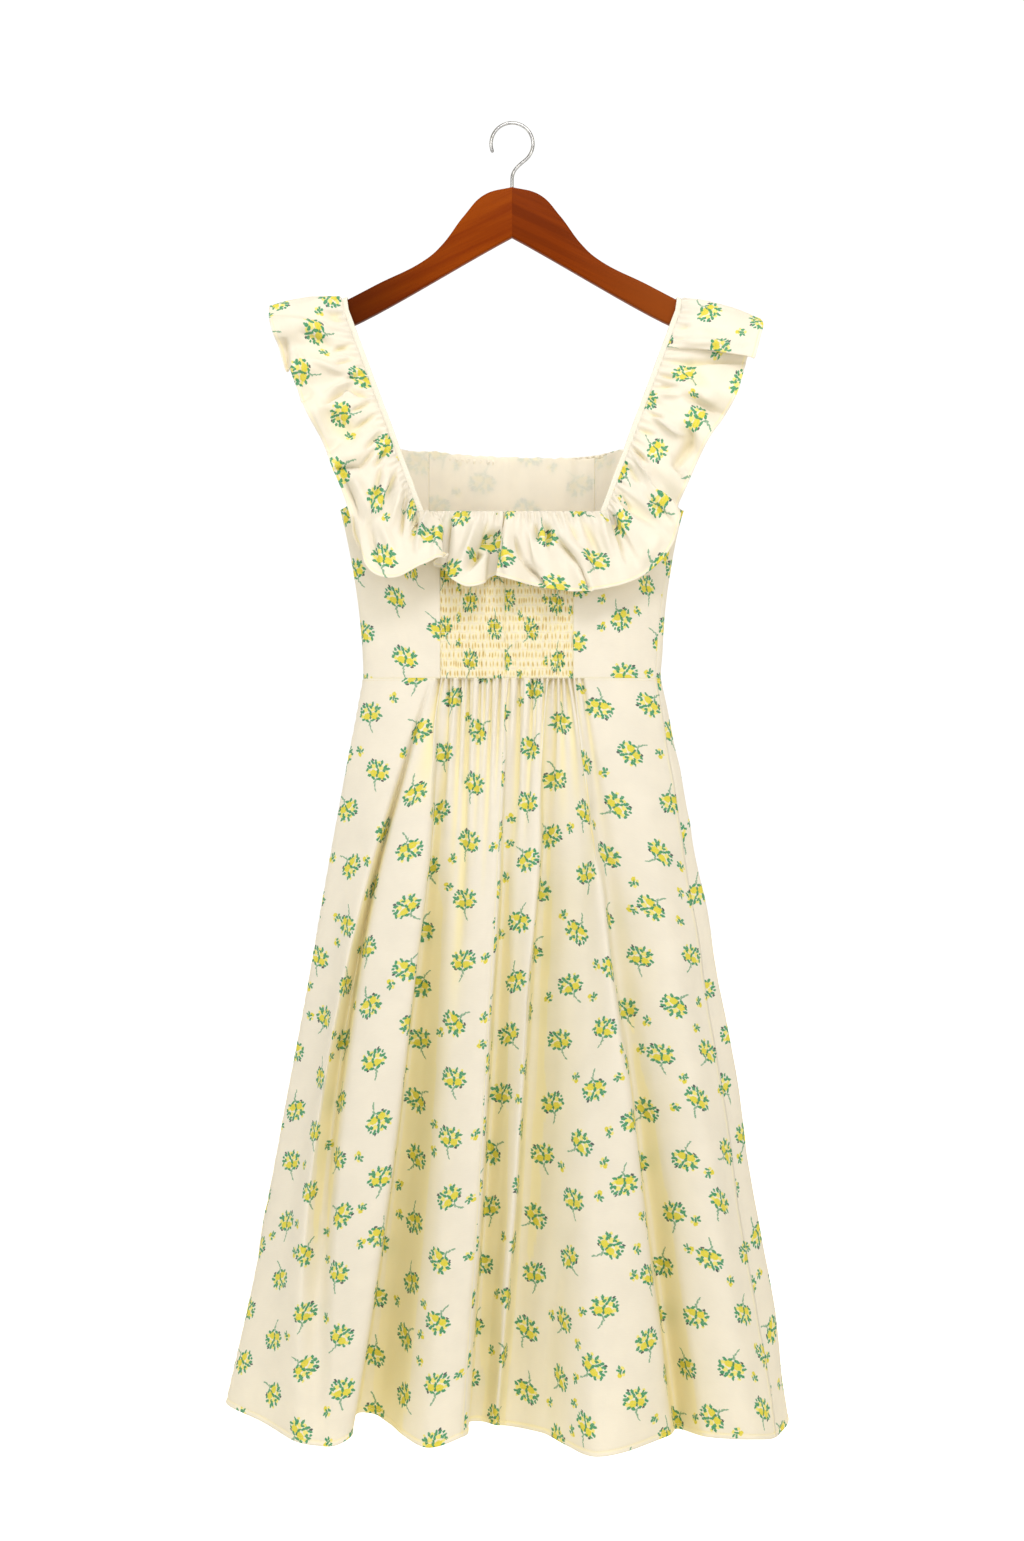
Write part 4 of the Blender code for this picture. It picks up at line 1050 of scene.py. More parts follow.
def smock_half(name, start, end, seed):
    """Rows of elastic thread draw the cloth into narrow upright puffs with slits between them."""
    shares = np.linspace(0, 1, int(SMOCK_WIDTH / SMOCK_COLUMN_PITCH) + 1)
    hidden = np.linspace(0, SMOCK_HIDDEN, SMOCK_HIDDEN_ROWS, endpoint=False)
    shown = np.linspace(SMOCK_HIDDEN, 1, SMOCK_SHOWN_ROWS)
    points, normals = panel_surface(start, end, shares, np.concatenate([hidden, shown]))
    along, down = row_lengths(points), column_lengths(points)
    to_waist = points[:, :, 2] - WAIST_Z
    relief, painted_shade = smock_slits(along, to_waist, seed)
    to_thread = np.abs((to_waist + THREAD_PITCH / 2) % THREAD_PITCH - THREAD_PITCH / 2)
    relief += PUFF_HEIGHT * (1 - np.cos(np.pi * to_thread / THREAD_PITCH))
    relief += waves(along, to_waist, *SMOCK_RIBS, seed + 5)
    relief -= THREAD_GROOVE * bump_at(to_thread, THREAD_GROOVE_WIDTH)
    relief += seam_grooves(along, SMOCK_SEAM_WIDTH, SMOCK_SEAM_DEPTH)
    plain = step_up(-down, *SMOCK_PLAIN_TOP)
    relief *= 1 - plain
    # Painted shade: a share over all the smocking, more in its slits, and along its seams
    painted_shade = (SMOCK_PAINTED_SHADE + (1 - SMOCK_PAINTED_SHADE) * painted_shade) * (1 - plain)
    for to_seam in (along, along[:, -1].mean() - along):
        painted_shade = np.maximum(painted_shade, SMOCK_SEAM_PAINTED_SHADE * bump_at(to_seam, SMOCK_SEAM_LINE))
    grid = points + normals * relief[:, :, None]
    tuck_under(grid, normals)
    made = add_cloth(name + "_cloth", grid, panel_flat(along, -to_waist, name, SMOCK_SQUEEZE), painted_shade)
    add_threads(name + "_threads", grid, normals, to_waist[:, 0])
    return made


def add_threads(name, grid, normals, heights):
    """The elastic threads that lie in the smocking's pinched rows."""
    tubes = []
    for count in range(1, int((heights[0] - THREADLESS_TOP) / THREAD_PITCH) + 1):
        row = int(np.argmin(np.abs(heights - count * THREAD_PITCH)))
        line = grid[row] + normals[row] * THREAD_RADIUS * THREAD_PROUD
        tubes.append(rings_along(line[1:-1:2], THREAD_RADIUS))
    made = add_piece(name, rods_mesh(name, tubes, THREAD_SIDES), "cloth")
    made.data.materials.append(LOOKS["thread"])


def rings_along(line, radius):
    """A ring for each point of a line: its centre, two ways across the line and its radius."""
    tangents = unit(np.gradient(line, axis=0))
    across = np.cross(tangents, (0.0, 1.0, 0.0))
    weak = np.linalg.norm(across, axis=1) < LEAST_ACROSS
    across[weak] = np.cross(tangents[weak], (0.0, 0.0, 1.0))
    across = unit(across)
    outs = np.cross(across, tangents)
    return [(line[i], across[i], outs[i], radius) for i in range(len(line))]


def rods_mesh(name, rods, sides):
    """Round rods, each through its own list of rings."""
    points, faces = [], []
    turns = [2 * math.pi * side / sides for side in range(sides)]
    for rings in rods:
        first = len(points)
        for centre, across, out, radius in rings:
            for turn in turns:
                points.append(tuple(centre + radius * (math.cos(turn) * across + math.sin(turn) * out)))
        last = len(points) - sides
        for start in range(first, last, sides):
            for side in range(sides):
                a, b = start + side, start + (side + 1) % sides
                faces.append((a, b, b + sides, a + sides))
        faces += [list(range(first, first + sides))[::-1], list(range(last, last + sides))]
    mesh = bpy.data.meshes.new(name)
    mesh.from_pydata(points, [], faces)
    mesh.shade_smooth()
    return mesh


def face_outward(mesh):
    """Turns every face of a closed mesh to the outside."""
    work = bmesh.new()
    work.from_mesh(mesh)
    bmesh.ops.recalc_face_normals(work, faces=work.faces)
    work.to_mesh(mesh)
    work.free()


def add_stitches(name, line, normals, pitch, length):
    """A row of short stitches along a line on the cloth."""
    reached = distances_along(line)
    places = np.arange(len(line))
    lift = np.array(STITCH_RISE)[:, None] * STITCH_RADIUS
    tubes = []
    for start in np.arange(pitch / 2, reached[-1] - length, pitch):
        at = start + length * np.linspace(0, 1, len(STITCH_RISE))
        index = np.interp(at, reached, places)
        out = np.stack([np.interp(index, places, normals[:, axis]) for axis in range(3)], axis=1)
        tubes.append(rings_along(points_along(line, at) + out * lift, STITCH_RADIUS))
    made = add_piece(name, rods_mesh(name, tubes, THREAD_SIDES), "cloth")
    made.data.materials.append(LOOKS["thread"])


def add_bodice():
    """The cloth of the bodice's seven panels, by name."""
    side_left, side_left_front = seam_round(math.pi), seam_round(3 * math.pi)
    side_right = seam_round(RIGHT_SEAM_ANGLE)
    smock_left, smock_right = seam_at(SMOCK_LEFT_X, NEAR), seam_at(SMOCK_RIGHT_X, NEAR)
    centre = seam_at(CENTRE_BACK_X, NEAR)
    panel_right, panel_left = seam_at(FRONT_PANEL_X, FAR), seam_at(-FRONT_PANEL_X, FAR)
    back, front = (back_lift,), (front_lift, front_edge_wave)
    made = {}
    for name, start, end, width, shape in (
        ("back_side_left", side_left, smock_left, BACK_SIDE_WIDTH, back),
        ("back_side_right", smock_right, side_right, BACK_SIDE_WIDTH, back),
        ("front_side_right", side_right, panel_right, FRONT_SIDE_WIDTH, front),
        ("front_centre", panel_right, panel_left, FRONT_CENTRE_WIDTH, front),
        ("front_side_left", panel_left, side_left_front, FRONT_SIDE_WIDTH, front),
    ):
        made[name] = plain_panel(name, start, end, width, *shape)
    made["smock_left"] = smock_half("smock_left", smock_left, centre, seed=21)
    made["smock_right"] = smock_half("smock_right", centre, smock_right, seed=22)
    return made


# Straps and ruffles


def add_straps():
    """Narrow bands of ribbed elastic, ribs running across them."""
    centres, acrosses, outs = strap_line()
    reached = distances_along(centres)
    rib = 0.5 + 0.5 * np.cos(2 * math.pi * reached / RIB_PITCH)
    turns = np.linspace(0, 2 * math.pi, STRAP_SIDES, endpoint=False)
    wide = np.sign(np.cos(turns)) * np.abs(np.cos(turns)) ** STRAP_EDGE_POWER
    thick = np.sign(np.sin(turns)) * np.abs(np.sin(turns)) ** STRAP_FACE_POWER
    half_wide = STRAP_WIDTH / 2 - RIB_EDGE * (1 - rib) + waves(reached, reached * 0, *STRAP_WAVER)
    half_thick = STRAP_THICKNESS / 2 - RIB_DEPTH * (1 - rib)
    points = (
        centres[:, None]
        + acrosses[:, None] * np.outer(half_wide, wide)[:, :, None]
        + outs[:, None] * np.outer(half_thick, thick)[:, :, None]
    )
    at = np.arange(len(centres) * STRAP_SIDES).reshape(-1, STRAP_SIDES)
    beside = np.roll(at, -1, axis=1)
    faces = np.stack([at[:-1], beside[:-1], beside[1:], at[1:]], axis=-1).reshape(-1, 4).tolist()
    faces += [at[0, ::-1].tolist(), at[-1].tolist()]
    for name, side in (("strap_left", -1), ("strap_right", 1)):
        mesh = bpy.data.meshes.new(name + "_band")
        mesh.from_pydata((points.reshape(-1, 3) * (side, 1, 1)).tolist(), [], faces)
        face_outward(mesh)
        mesh.shade_smooth()
        mesh.materials.append(LOOKS["strap"])
        add_piece(name + "_band", mesh, "strap", name)


def root_gathers(distances, drops, seed):
    """Small folds that start at a ruffle's root, uneven in place, length and depth."""
    rng = np.random.default_rng(seed)
    relief = np.zeros((len(drops), len(distances)))
    place = ROOT_MARGIN
    sign = 1
    while place < distances.max() - ROOT_MARGIN:
        height = sign * rng.uniform(*ROOT_HEIGHT) * ROOT_GATHER
        long = rng.uniform(*ROOT_SHORT) if rng.random() < ROOT_SHORT_SHARE else rng.uniform(*ROOT_LONG)
        width = rng.uniform(*ROOT_WIDTH)
        lean = rng.uniform(*ROOT_LEAN)
        fade = np.clip(1 - drops / long, 0, 1) ** ROOT_FADE * np.clip(ROOT_START + drops / ROOT_RISE, 0, 1)
        spread = width * (1 + ROOT_WIDENING * drops)
        across = distances[None, :] - place - lean * drops[:, None]
        relief += height * fade[:, None] * bump_at(across, spread[:, None])
        place += rng.uniform(*ROOT_NEXT)
        sign = -sign
    return relief


def ruffle_grid(back_ribs, start_x, drops):
    """A right ruffle's plain surface, and how far along its root each column starts."""
    path, top = ruffle_root(start_x)
    reached = distances_along(path)
    rib_distances = np.concatenate([
        reached[top] * np.array([rib[0] for rib in back_ribs]),
        between(reached[top], reached[-1], np.array([rib[0] for rib in FRONT_RIBS])),
    ])
    roots = points_along(path, rib_distances)
    edges = [(x, -depth, z) for _, x, depth, z in back_ribs]
    edges = np.array(edges + [(x, depth, z) for _, x, depth, z in FRONT_RIBS])
    swell = edges * (0, 1, 0) + (RUFFLE_SIDE_LEAN, 0, RUFFLE_UP_LEAN)
    middles = (roots + edges) / 2 + unit(swell) * 2 * RUFFLE_SWELL
    drop = drops[None, :, None]
    lines = (
        (1 - drop) ** 2 * roots[:, None]
        + 2 * drop * (1 - drop) * middles[:, None]
        + drop**2 * edges[:, None]
    )
    grid = flowing_lines(lines, [RUFFLE_STEPS] * (len(lines) - 1), closed=False)
    columns = np.arange(grid.shape[1])
    distances = np.interp(columns / RUFFLE_STEPS, np.arange(len(lines)), rib_distances)
    grid = grid + (1 - drop[0])[:, :, None] ** 2 * (points_along(path, distances) - grid[0])
    return grid, distances


def add_ruffle(name, back_ribs, start_x, mirrored, folds, seed):
    """A gathered strip from the centre back over the shoulder to the centre front."""
    drops = np.unique(np.concatenate([np.linspace(0, 1, RUFFLE_ROWS), RUFFLE_EXTRA_DROPS]))
    grid, distances = ruffle_grid(back_ribs, start_x, drops)
    normals = outward_normals(grid, closed=False)
    relief = root_gathers(distances, drops, seed)
    placed = grid * ((-1, 1, 1) if mirrored else (1, 1, 1))
    near_columns = np.arange(grid.shape[1]) < (len(back_ribs) - 1) * RUFFLE_STEPS
    by_hand = placed_folds(placed, folds) * near_columns * np.clip(drops * FOLD_ROOT_RISE, 0, 1)[:, None]
    relief += by_hand
    along, down = row_lengths(grid), column_lengths(grid)
    middle_along = along[len(drops) // 2]
    soft = waves(middle_along[None, :] + 0 * down, down, *RUFFLE_HOLLOWS, seed + 1)
    relief += soft * np.clip(drops * HOLLOW_ROOT_RISE, 0, 1)[:, None]
    to_edge = down[-1:] - down
    relief += HEM_RISE * step_up(-to_edge, -RUFFLE_HEM - HEM_EDGE, -RUFFLE_HEM + HEM_EDGE)
    relief -= HEM_GROOVE * bump_at(to_edge - RUFFLE_HEM, HEM_EDGE)
    # Painted shade along the hem's groove, in the hollows of the listed folds and in hollows near the root
    painted_shade = HEM_PAINTED_SHADE * bump_at(to_edge - RUFFLE_HEM, HEM_LINE)
    painted_shade += np.clip(-by_hand / FOLD_PAINTED_SHADE_DEPTH, 0, 1) * FOLD_PAINTED_SHADE
    painted_shade = np.clip(painted_shade - relief / ROOT_GATHER * ROOT_PAINTED_SHADE * (1 - drops)[:, None], 0, 1)
    grid = grid + normals * relief[:, :, None]
    flat = panel_flat(np.broadcast_to(middle_along, down.shape), down, name)
    return add_cloth(name + "_cloth", grid, flat, painted_shade, mirrored)


# The skirt's cloth


def fold_lines(drops):
    folds = BACK_FOLDS + FRONT_FOLDS
    sides = [NEAR] * len(BACK_FOLDS) + [FAR] * len(FRONT_FOLDS)
    lines = []
    for (_, waist_x, middle_x, hem_x, middle_y, hem_y, hem_z), side in zip(folds, sides):
        waist_y = side * body_depth(waist_x, WAIST_Z)
        at_waist = 2 * (drops - 0.5) * (drops - 1)
        at_middle = 4 * drops * (1 - drops)
        at_hem = 2 * drops * (drops - 0.5)
        x = at_waist * waist_x + at_middle * middle_x + at_hem * hem_x
        y = at_waist * waist_y + at_middle * middle_y + at_hem * hem_y
        z = between(WAIST_Z - SEAM_GAP / 2, hem_z, drops)
        lines.append(np.stack([x, y, z], axis=1))
    return np.array(lines)


def back_pleats(place, below):
    """The pleats under the smocking, each a sharp hollow with a narrow line of painted shade in it: relief
    and shade lines.
    """
    relief = np.zeros_like(below)
    lines = np.zeros_like(below)
    for x, depth, width, long in BACK_PLEATS:
        fall = np.clip(1 - (below * 1000 / (PLEAT_REACH * long)) ** PLEAT_FADE, 0, 1)
        fall *= np.clip(PLEAT_TOP + below / PLEAT_RISE, 0, 1)
        spread = PLEAT_WIDENING * width * (1 + below / PLEAT_SPREAD) / 1000
        aside = (place - x / 1000) / spread
        relief -= PLEAT_STRENGTH * depth / 1000 * fall * bump_at(aside, 1)
        lines = np.maximum(lines, depth / DEEPEST_PLEAT * fall * bump_at(PLEAT_LINE * aside, 1))
    return relief, lines


def waist_gathers(place, below, low, high, seed):
    """Small gathers drawn in by the waist seam, close and sharp at the top and merging as they fall."""
    rng = np.random.default_rng(seed)
    relief = np.zeros_like(below)
    centre = low + GATHER_START
    sign = -1
    while centre < high:
        short = rng.random() < GATHER_SHORT_SHARE
        long = rng.uniform(*GATHER_SHORT) if short else rng.uniform(*GATHER_LONG)
        height = sign * GATHER_HEIGHT * rng.uniform(*GATHER_SHARES)
        width = rng.uniform(*GATHER_WIDTH)
        fade = np.clip(1 - below / long, 0, 1) ** GATHER_FADE * np.clip(below / GATHER_RISE, 0, 1)
        spread = width * (1 + below / GATHER_SPREAD)
        relief += height * fade * bump_at(place - centre, spread)
        centre += rng.uniform(*GATHER_NEXT)
        sign = -sign
    return relief


def developed(steps, down):
    """The skirt laid flat: every row keeps its length and is turned by the flare gathered up so far."""
    turns = np.concatenate([[0], np.cumsum((steps[-1] - steps[0]) / down[-1])])
    middle = (turns[1:] + turns[:-1]) / 2
    zeros = np.zeros((len(down), 1))
    u = np.concatenate([zeros, np.cumsum(steps * np.cos(middle), axis=1)], axis=1)
    v = np.concatenate([zeros, np.cumsum(steps * np.sin(middle), axis=1)], axis=1)
    return np.stack([u, v - down[:, None]], axis=2)


def hollows(grid, normals):
    """From 0 where cloth faces open air to 1 in the deepest folds, judged level by level."""
    hidden = np.zeros(grid.shape[:2])
    for row in range(len(grid)):
        level, out = grid[row, :, :2], unit(normals[row, :, :2])
        way = level[None] - level[:, None]
        rise = (way * out[:, None]).sum(axis=2)
        run = way[..., 0] * -out[:, None, 1] + way[..., 1] * out[:, None, 0]
        slope = np.where(rise > HOLLOW_LEAST_RISE, rise / (np.abs(run) + 1e-6), 0.0)
        slope *= np.hypot(rise, run) < HOLLOW_REACH
        ahead = np.where(run > 0, slope, 0.0).max(axis=1)
        behind = np.where(run < 0, slope, 0.0).max(axis=1)
        hidden[row] = 1 - (1 / np.hypot(1, ahead) + 1 / np.hypot(1, behind)) / 2
    return hidden


def skirt_steps(lines):
    """How many columns lie between each fold line and the next, more where the cloth is pleated."""
    gaps = np.linalg.norm(np.roll(lines, -1, axis=0) - lines, axis=2)
    steps = []
    for index, (waist_x, at_waist, at_hem) in enumerate(zip(lines[:, 0, 0], gaps[:, 0], gaps[:, -1])):
        side = NEAR if index < len(BACK_FOLDS) else FAR
        pitch = SKIRT_PITCH if side == NEAR else SKIRT_PITCH * FRONT_COARSENESS
        least = LEAST_STEPS[side]
        if side == NEAR and BACK_GATHERS[0] < waist_x < BACK_GATHERS[1]:
            least = max(least, math.ceil(at_waist / PLEAT_PITCH))
        steps.append(max(least, min(math.ceil(at_hem / pitch), MOST_STEPS)))
    return steps


def skirt_flat(name, steps, down):
    """A skirt panel laid flat: a back panel from its side seam, the front one from its middle."""

    def to_left(part):
        return developed(part[:, ::-1], down)[:, ::-1] * (-1, 1)

    if name == "skirt_back_left":
        return to_left(steps)
    if name == "skirt_back_right":
        return developed(steps, down)
    half = steps.shape[1] // 2
    return np.concatenate([to_left(steps[:, :half]), developed(steps[:, half:], down)[:, 1:]], axis=1)


def skirt_seams(along, below, columns):
    """Relief and painted shade of the skirt's seams, which draw the cloth in and pucker it beside them."""
    relief = np.zeros_like(below)
    painted_shade = np.zeros_like(below)
    drift = 3 * np.sin(below * PUCKER_DRIFT)
    pucker = 1 + PUCKER_SWING * np.sin(below * 2 * math.pi / PUCKER_PITCH + drift)
    for column in columns:
        if column:
            to_seam = np.abs(along - along[:, column - 1 : column])
        else:
            to_seam = np.minimum(along, along[:, -1:] - along)
        relief -= SEAM_DEPTH / 2 * bump_at(to_seam, SEAM_WIDTH)
        relief += PUCKER_HEIGHT * pucker * bump_at(to_seam - PUCKER_PLACE, PUCKER_WIDTH)
        painted_shade += SEAM_PAINTED_SHADE * bump_at(to_seam, SKIRT_SEAM_LINE)
    return relief, painted_shade


def add_skirt():
    """The skirt's three panels, and the grid and normals that its stitches lie on."""
    drops = np.unique(np.concatenate([np.linspace(*rows) for rows in SKIRT_ROWS]))
    lines = fold_lines(drops)
    steps = skirt_steps(lines)
    grid = flowing_lines(lines, steps, closed=True)
    sewn = np.clip(1 - (grid[0, 0, 2] - grid[:, 0, 2]) / WAIST_BLEND, 0, 1) ** 2
    depths = np.array([body_depth(x, WAIST_Z) for x in grid[0, :, 0]])
    grid[:, :, 1] += (np.sign(grid[0, :, 1]) * depths - grid[0, :, 1])[None] * sewn[:, None]
    normals = outward_normals(grid, closed=True)
    names = [fold[0] for fold in BACK_FOLDS + FRONT_FOLDS]
    at = dict(zip(names, np.cumsum([0] + steps[:-1])))
    total = grid.shape[1]
    below = WAIST_Z - grid[:, :, 2]
    to_hem = below[-1:] - below
    place = grid[0, :, 0][None, :]
    near_columns = (np.arange(total) < at["edge_right"])[None]
    pleats, pleat_shade_lines = back_pleats(place, below)
    near_gathers = pleats + GATHERS_BY_PLEATS * waist_gathers(place, below, *BACK_GATHERS, seed=41)
    far_gathers = waist_gathers(place, below, *FRONT_GATHERS, seed=43)
    relief = np.where(near_columns, near_gathers, far_gathers)
    # Painted shade along the pleats' middles
    painted_shade = PLEAT_PAINTED_SHADE * np.where(near_columns, pleat_shade_lines, 0.0)
    steps_along = np.linalg.norm(np.roll(grid, -1, axis=1) - grid, axis=2)
    along = np.cumsum(steps_along, axis=1)
    soft = waves(along, below + along * SKIRT_LEAN, *SKIRT_HOLLOWS)
    relief += soft * np.clip(below / SKIRT_HOLLOWS_RISE, 0, 1)
    relief += waves(along, below, *SKIRT_RIPPLES) * np.clip(below / SKIRT_RIPPLES_RISE, 0, 1)
    relief += SKIRT_HEM_RISE * step_up(-to_hem, -SKIRT_HEM - SKIRT_HEM_EDGE, -SKIRT_HEM + SKIRT_HEM_EDGE)
    relief -= SKIRT_HEM_GROOVE * bump_at(to_hem - SKIRT_HEM, SKIRT_LINE)
    # Painted shade along the hem's groove and the waist seam
    painted_shade += SKIRT_HEM_PAINTED_SHADE * bump_at(to_hem - SKIRT_HEM, SKIRT_LINE)
    painted_shade += SEAM_PAINTED_SHADE * bump_at(below, SKIRT_LINE)
    seam_relief, seam_painted_shade = skirt_seams(along, below, [at[seam] for seam in SKIRT_SEAMS])
    relief += seam_relief
    painted_shade += seam_painted_shade
    grid = grid + normals * relief[:, :, None]
    normals = outward_normals(grid, closed=True)
    # Painted shade in the hollows, by how much cloth near by hides them
    fading = HOLLOW_PAINTED_SHADE * (1 - HOLLOW_FADE * drops) * np.clip(HOLLOW_TOP + drops * HOLLOW_RISE, 0, 1)
    painted_shade = np.clip(painted_shade + fading[:, None] * hollows(grid, normals), 0, MOST_PAINTED_SHADE)
    gathered = (place > BACK_GATHERS[0]) & (place < BACK_GATHERS[1])
    drawn_in = (GATHER_FULLNESS - 1) * np.clip(1 - drops / GATHERED_SHARE, 0, 1) ** GATHERED_FADE
    cloth_steps = steps_along * (1 + drawn_in[:, None] * gathered)
    made = {}
    for name, first, last in (
        ("skirt_back_left", "side_left", "centre_seam"),
        ("skirt_back_right", "centre_seam", "side_right"),
        ("skirt_front", "side_right", "side_left"),
    ):
        chosen = np.arange(at[first], (at[last] or total) + 1) % total
        flat = skirt_flat(name, cloth_steps[:, chosen[:-1]], drops * SKIRT_LENGTH) + PRINT_SHIFTS[name]
        made[name] = add_cloth(name + "_cloth", grid[:, chosen], flat, painted_shade[:, chosen])
    return made, grid, normals


# The hanger


def add_arm(name, mirrored, look):
    """One half of the wooden hanger: a flat outline with rounded edges."""
    outline = bpy.data.curves.new(name, "CURVE")
    outline.dimensions = "2D"
    outline.fill_mode = "BOTH"
    outline.extrude = ARM_HALF_THICKNESS
    outline.resolution_u = 12
    spline = outline.splines.new("BEZIER")
    spline.bezier_points.add(len(ARM_OUTLINE) - 1)
    spline.use_cyclic_u = True
    for point, (x, z, kind) in zip(spline.bezier_points, ARM_OUTLINE):
        point.co = (-x if mirrored else x, z, 0.0)
        point.handle_left_type = point.handle_right_type = "AUTO" if kind == "flows" else "VECTOR"
    drawn = bpy.data.objects.new(name + "_outline", outline)
    bpy.context.scene.collection.objects.link(drawn)
    drawn.rotation_euler.x = math.pi / 2
    bpy.context.view_layer.update()
    solid = drawn.evaluated_get(bpy.context.evaluated_depsgraph_get())
    mesh = bpy.data.meshes.new_from_object(solid)
    mesh.transform(drawn.matrix_world)
    bpy.data.objects.remove(drawn, do_unlink=True)
    mesh.name = name
    work = bmesh.new()
    work.from_mesh(mesh)
    bmesh.ops.remove_doubles(work, verts=work.verts, dist=ARM_WELD)
    bmesh.ops.dissolve_limit(work, angle_limit=ARM_FLATNESS, verts=work.verts, edges=work.edges)
    rims = []
    for edge in work.edges:
        on_face = abs(edge.verts[0].co.y - edge.verts[1].co.y) < ARM_WELD / 2
        on_joint = max(abs(vertex.co.x) for vertex in edge.verts) < JOINT_REACH
        if on_face and not on_joint and edge.calc_face_angle(0.0) > ARM_RIM_ANGLE:
            rims.append(edge)
    bmesh.ops.bevel(work, geom=rims, offset=ARM_ROUNDING, segments=5, profile=0.55, affect="EDGES")
    work.to_mesh(mesh)
    work.free()
    face_outward(mesh)
    mesh.shade_smooth()
    mesh.set_sharp_from_angle(angle=ARM_SHARP_ANGLE)
    mesh.materials.clear()
    mesh.materials.append(LOOKS[look])
    add_piece(name + "_wood", mesh, look, name)


def add_hook():
    """The wire hook, bent from one rod with a rounded tip."""
    centre_z = HOOK_WIRE - HOOK_RADIUS
    foot = np.array((0.0, SHANK_TOP_Z))
    above = foot + (0.0, HOOK_NECK)

    def on_round(turn):
        return np.array((HOOK_RADIUS * math.cos(turn), centre_z + HOOK_RADIUS * math.sin(turn)))

    joins = on_round(HOOK_START_TURN)
    before = joins + HOOK_NECK * np.array((math.sin(HOOK_START_TURN), -math.cos(HOOK_START_TURN)))
    shank_steps, neck_steps, round_steps = HOOK_STEPS
    route = [(0.0, z) for z in np.linspace(WIRE_FOOT_Z, SHANK_TOP_Z, shank_steps, endpoint=False)]
    for s in np.linspace(0, 1, neck_steps, endpoint=False):
        route.append(
            (1 - s) ** 3 * foot + 3 * s * (1 - s) ** 2 * above + 3 * s**2 * (1 - s) * before + s**3 * joins
        )
    route += [on_round(turn) for turn in np.linspace(HOOK_START_TURN, HOOK_END_TURN, round_steps)]
    line = np.array([(x, 0.0, z) for x, z in route])
    rings = rings_along(line, HOOK_WIRE)
    end, across, out, radius = rings[-1]
    onward = unit(line[-1] - line[-2])
    for step in range(1, TIP_STEPS + 1):
        turn = math.pi / 2 * step / (TIP_STEPS + 0.5)
        rings.append((end + onward * radius * math.sin(turn), across, out, radius * math.cos(turn)))
    mesh = rods_mesh("hanger_hook", [rings], HOOK_SIDES)
    face_outward(mesh)
    mesh.materials.append(LOOKS["metal"])
    add_piece("hanger_hook_wire", mesh, "metal", "hanger_hook")


# Materials


def tone(red, green, blue):
    """A colour given as 0 to 255 display values, in linear light."""

    def linear(value):
        value /= 255
        return value / 12.92 if value <= 0.04045 else ((value + 0.055) / 1.055) ** 2.4

    return (linear(red), linear(green), linear(blue), 1.0)


def darker(colour, share):
    """The colour with each of its parts at that share."""
    return tuple(value * share for value in colour[:3]) + (1.0,)


class Tree:
    """Short names for adding nodes to a node tree."""

    def __init__(self, tree):
        self.tree = tree

    def fill(self, node, inputs):
        for name, value in inputs.items():
            if isinstance(value, bpy.types.NodeSocket):
                self.tree.links.new(value, node.inputs[name])
            else:
                node.inputs[name].default_value = value

    def put(self, kind, inputs=None, **settings):
        node = self.tree.nodes.new(kind)
        for name, value in settings.items():
            setattr(node, name, value)
        self.fill(node, inputs or {})
        return node

    def maths(self, operation, first, second=0.0, third=0.0):
        node = self.put("ShaderNodeMath", {0: first, 1: second, 2: third}, operation=operation)
        return node.outputs[0]

    def vector(self, operation, first, second=(0.0, 0.0, 0.0)):
        node = self.put("ShaderNodeVectorMath", {0: first, 1: second}, operation=operation)
        return node.outputs["Value" if operation == "LENGTH" else "Vector"]

    def noise(self, place, scale, detail=2.0, roughness=0.5):
        node = self.put(
            "ShaderNodeTexNoise",
            {"Vector": place, "Scale": scale, "Detail": detail, "Roughness": roughness},
        )
        return node.outputs

    def ramp(self, value, low, high, start=0.0, end=1.0):
        node = self.put(
            "ShaderNodeMapRange",
            {"Value": value, "From Min": low, "From Max": high, "To Min": start, "To Max": end},
            interpolation_type="SMOOTHSTEP",
        )
        return node.outputs["Result"]

    def mix(self, share, first, second, blend="MIX"):
        """A mix of two colours, whose sockets have to be named by their numbers."""
        node = self.put("ShaderNodeMix", {}, data_type="RGBA", blend_type=blend)
        self.fill(node, {0: share, 6: first, 7: second})
        return node.outputs[2]

    def bump(self, height, strength, distance):
        node = self.put("ShaderNodeBump", {"Height": height, "Strength": strength, "Distance": distance})
        return node.outputs[0]

    def stretched(self, place, *stretch):
        return self.vector("MULTIPLY", place, stretch)

    def split(self, vector):
        return self.put("ShaderNodeSeparateXYZ", {0: vector}).outputs

    def join(self, x, y, z=0.0):
        return self.put("ShaderNodeCombineXYZ", {0: x, 1: y, 2: z}).outputs[0]

    def spots(self, place, shapes):
        """How far a place is from the nearest ellipse, 1 on its rim. Sizes are in millimetres."""
        nearest = None
        for x, y, half_x, half_y, lean in shapes:
            inside = self.put(
                "ShaderNodeMapping",
                {
                    "Vector": place,
                    "Location": (x, y, 0.0),
                    "Rotation": (0.0, 0.0, math.radians(lean)),
                    "Scale": (half_x, half_y, 1.0),
                },
                vector_type="TEXTURE",
            ).outputs[0]
            distance = self.vector("LENGTH", inside)
            nearest = distance if nearest is None else self.maths("MINIMUM", nearest, distance)
        return nearest


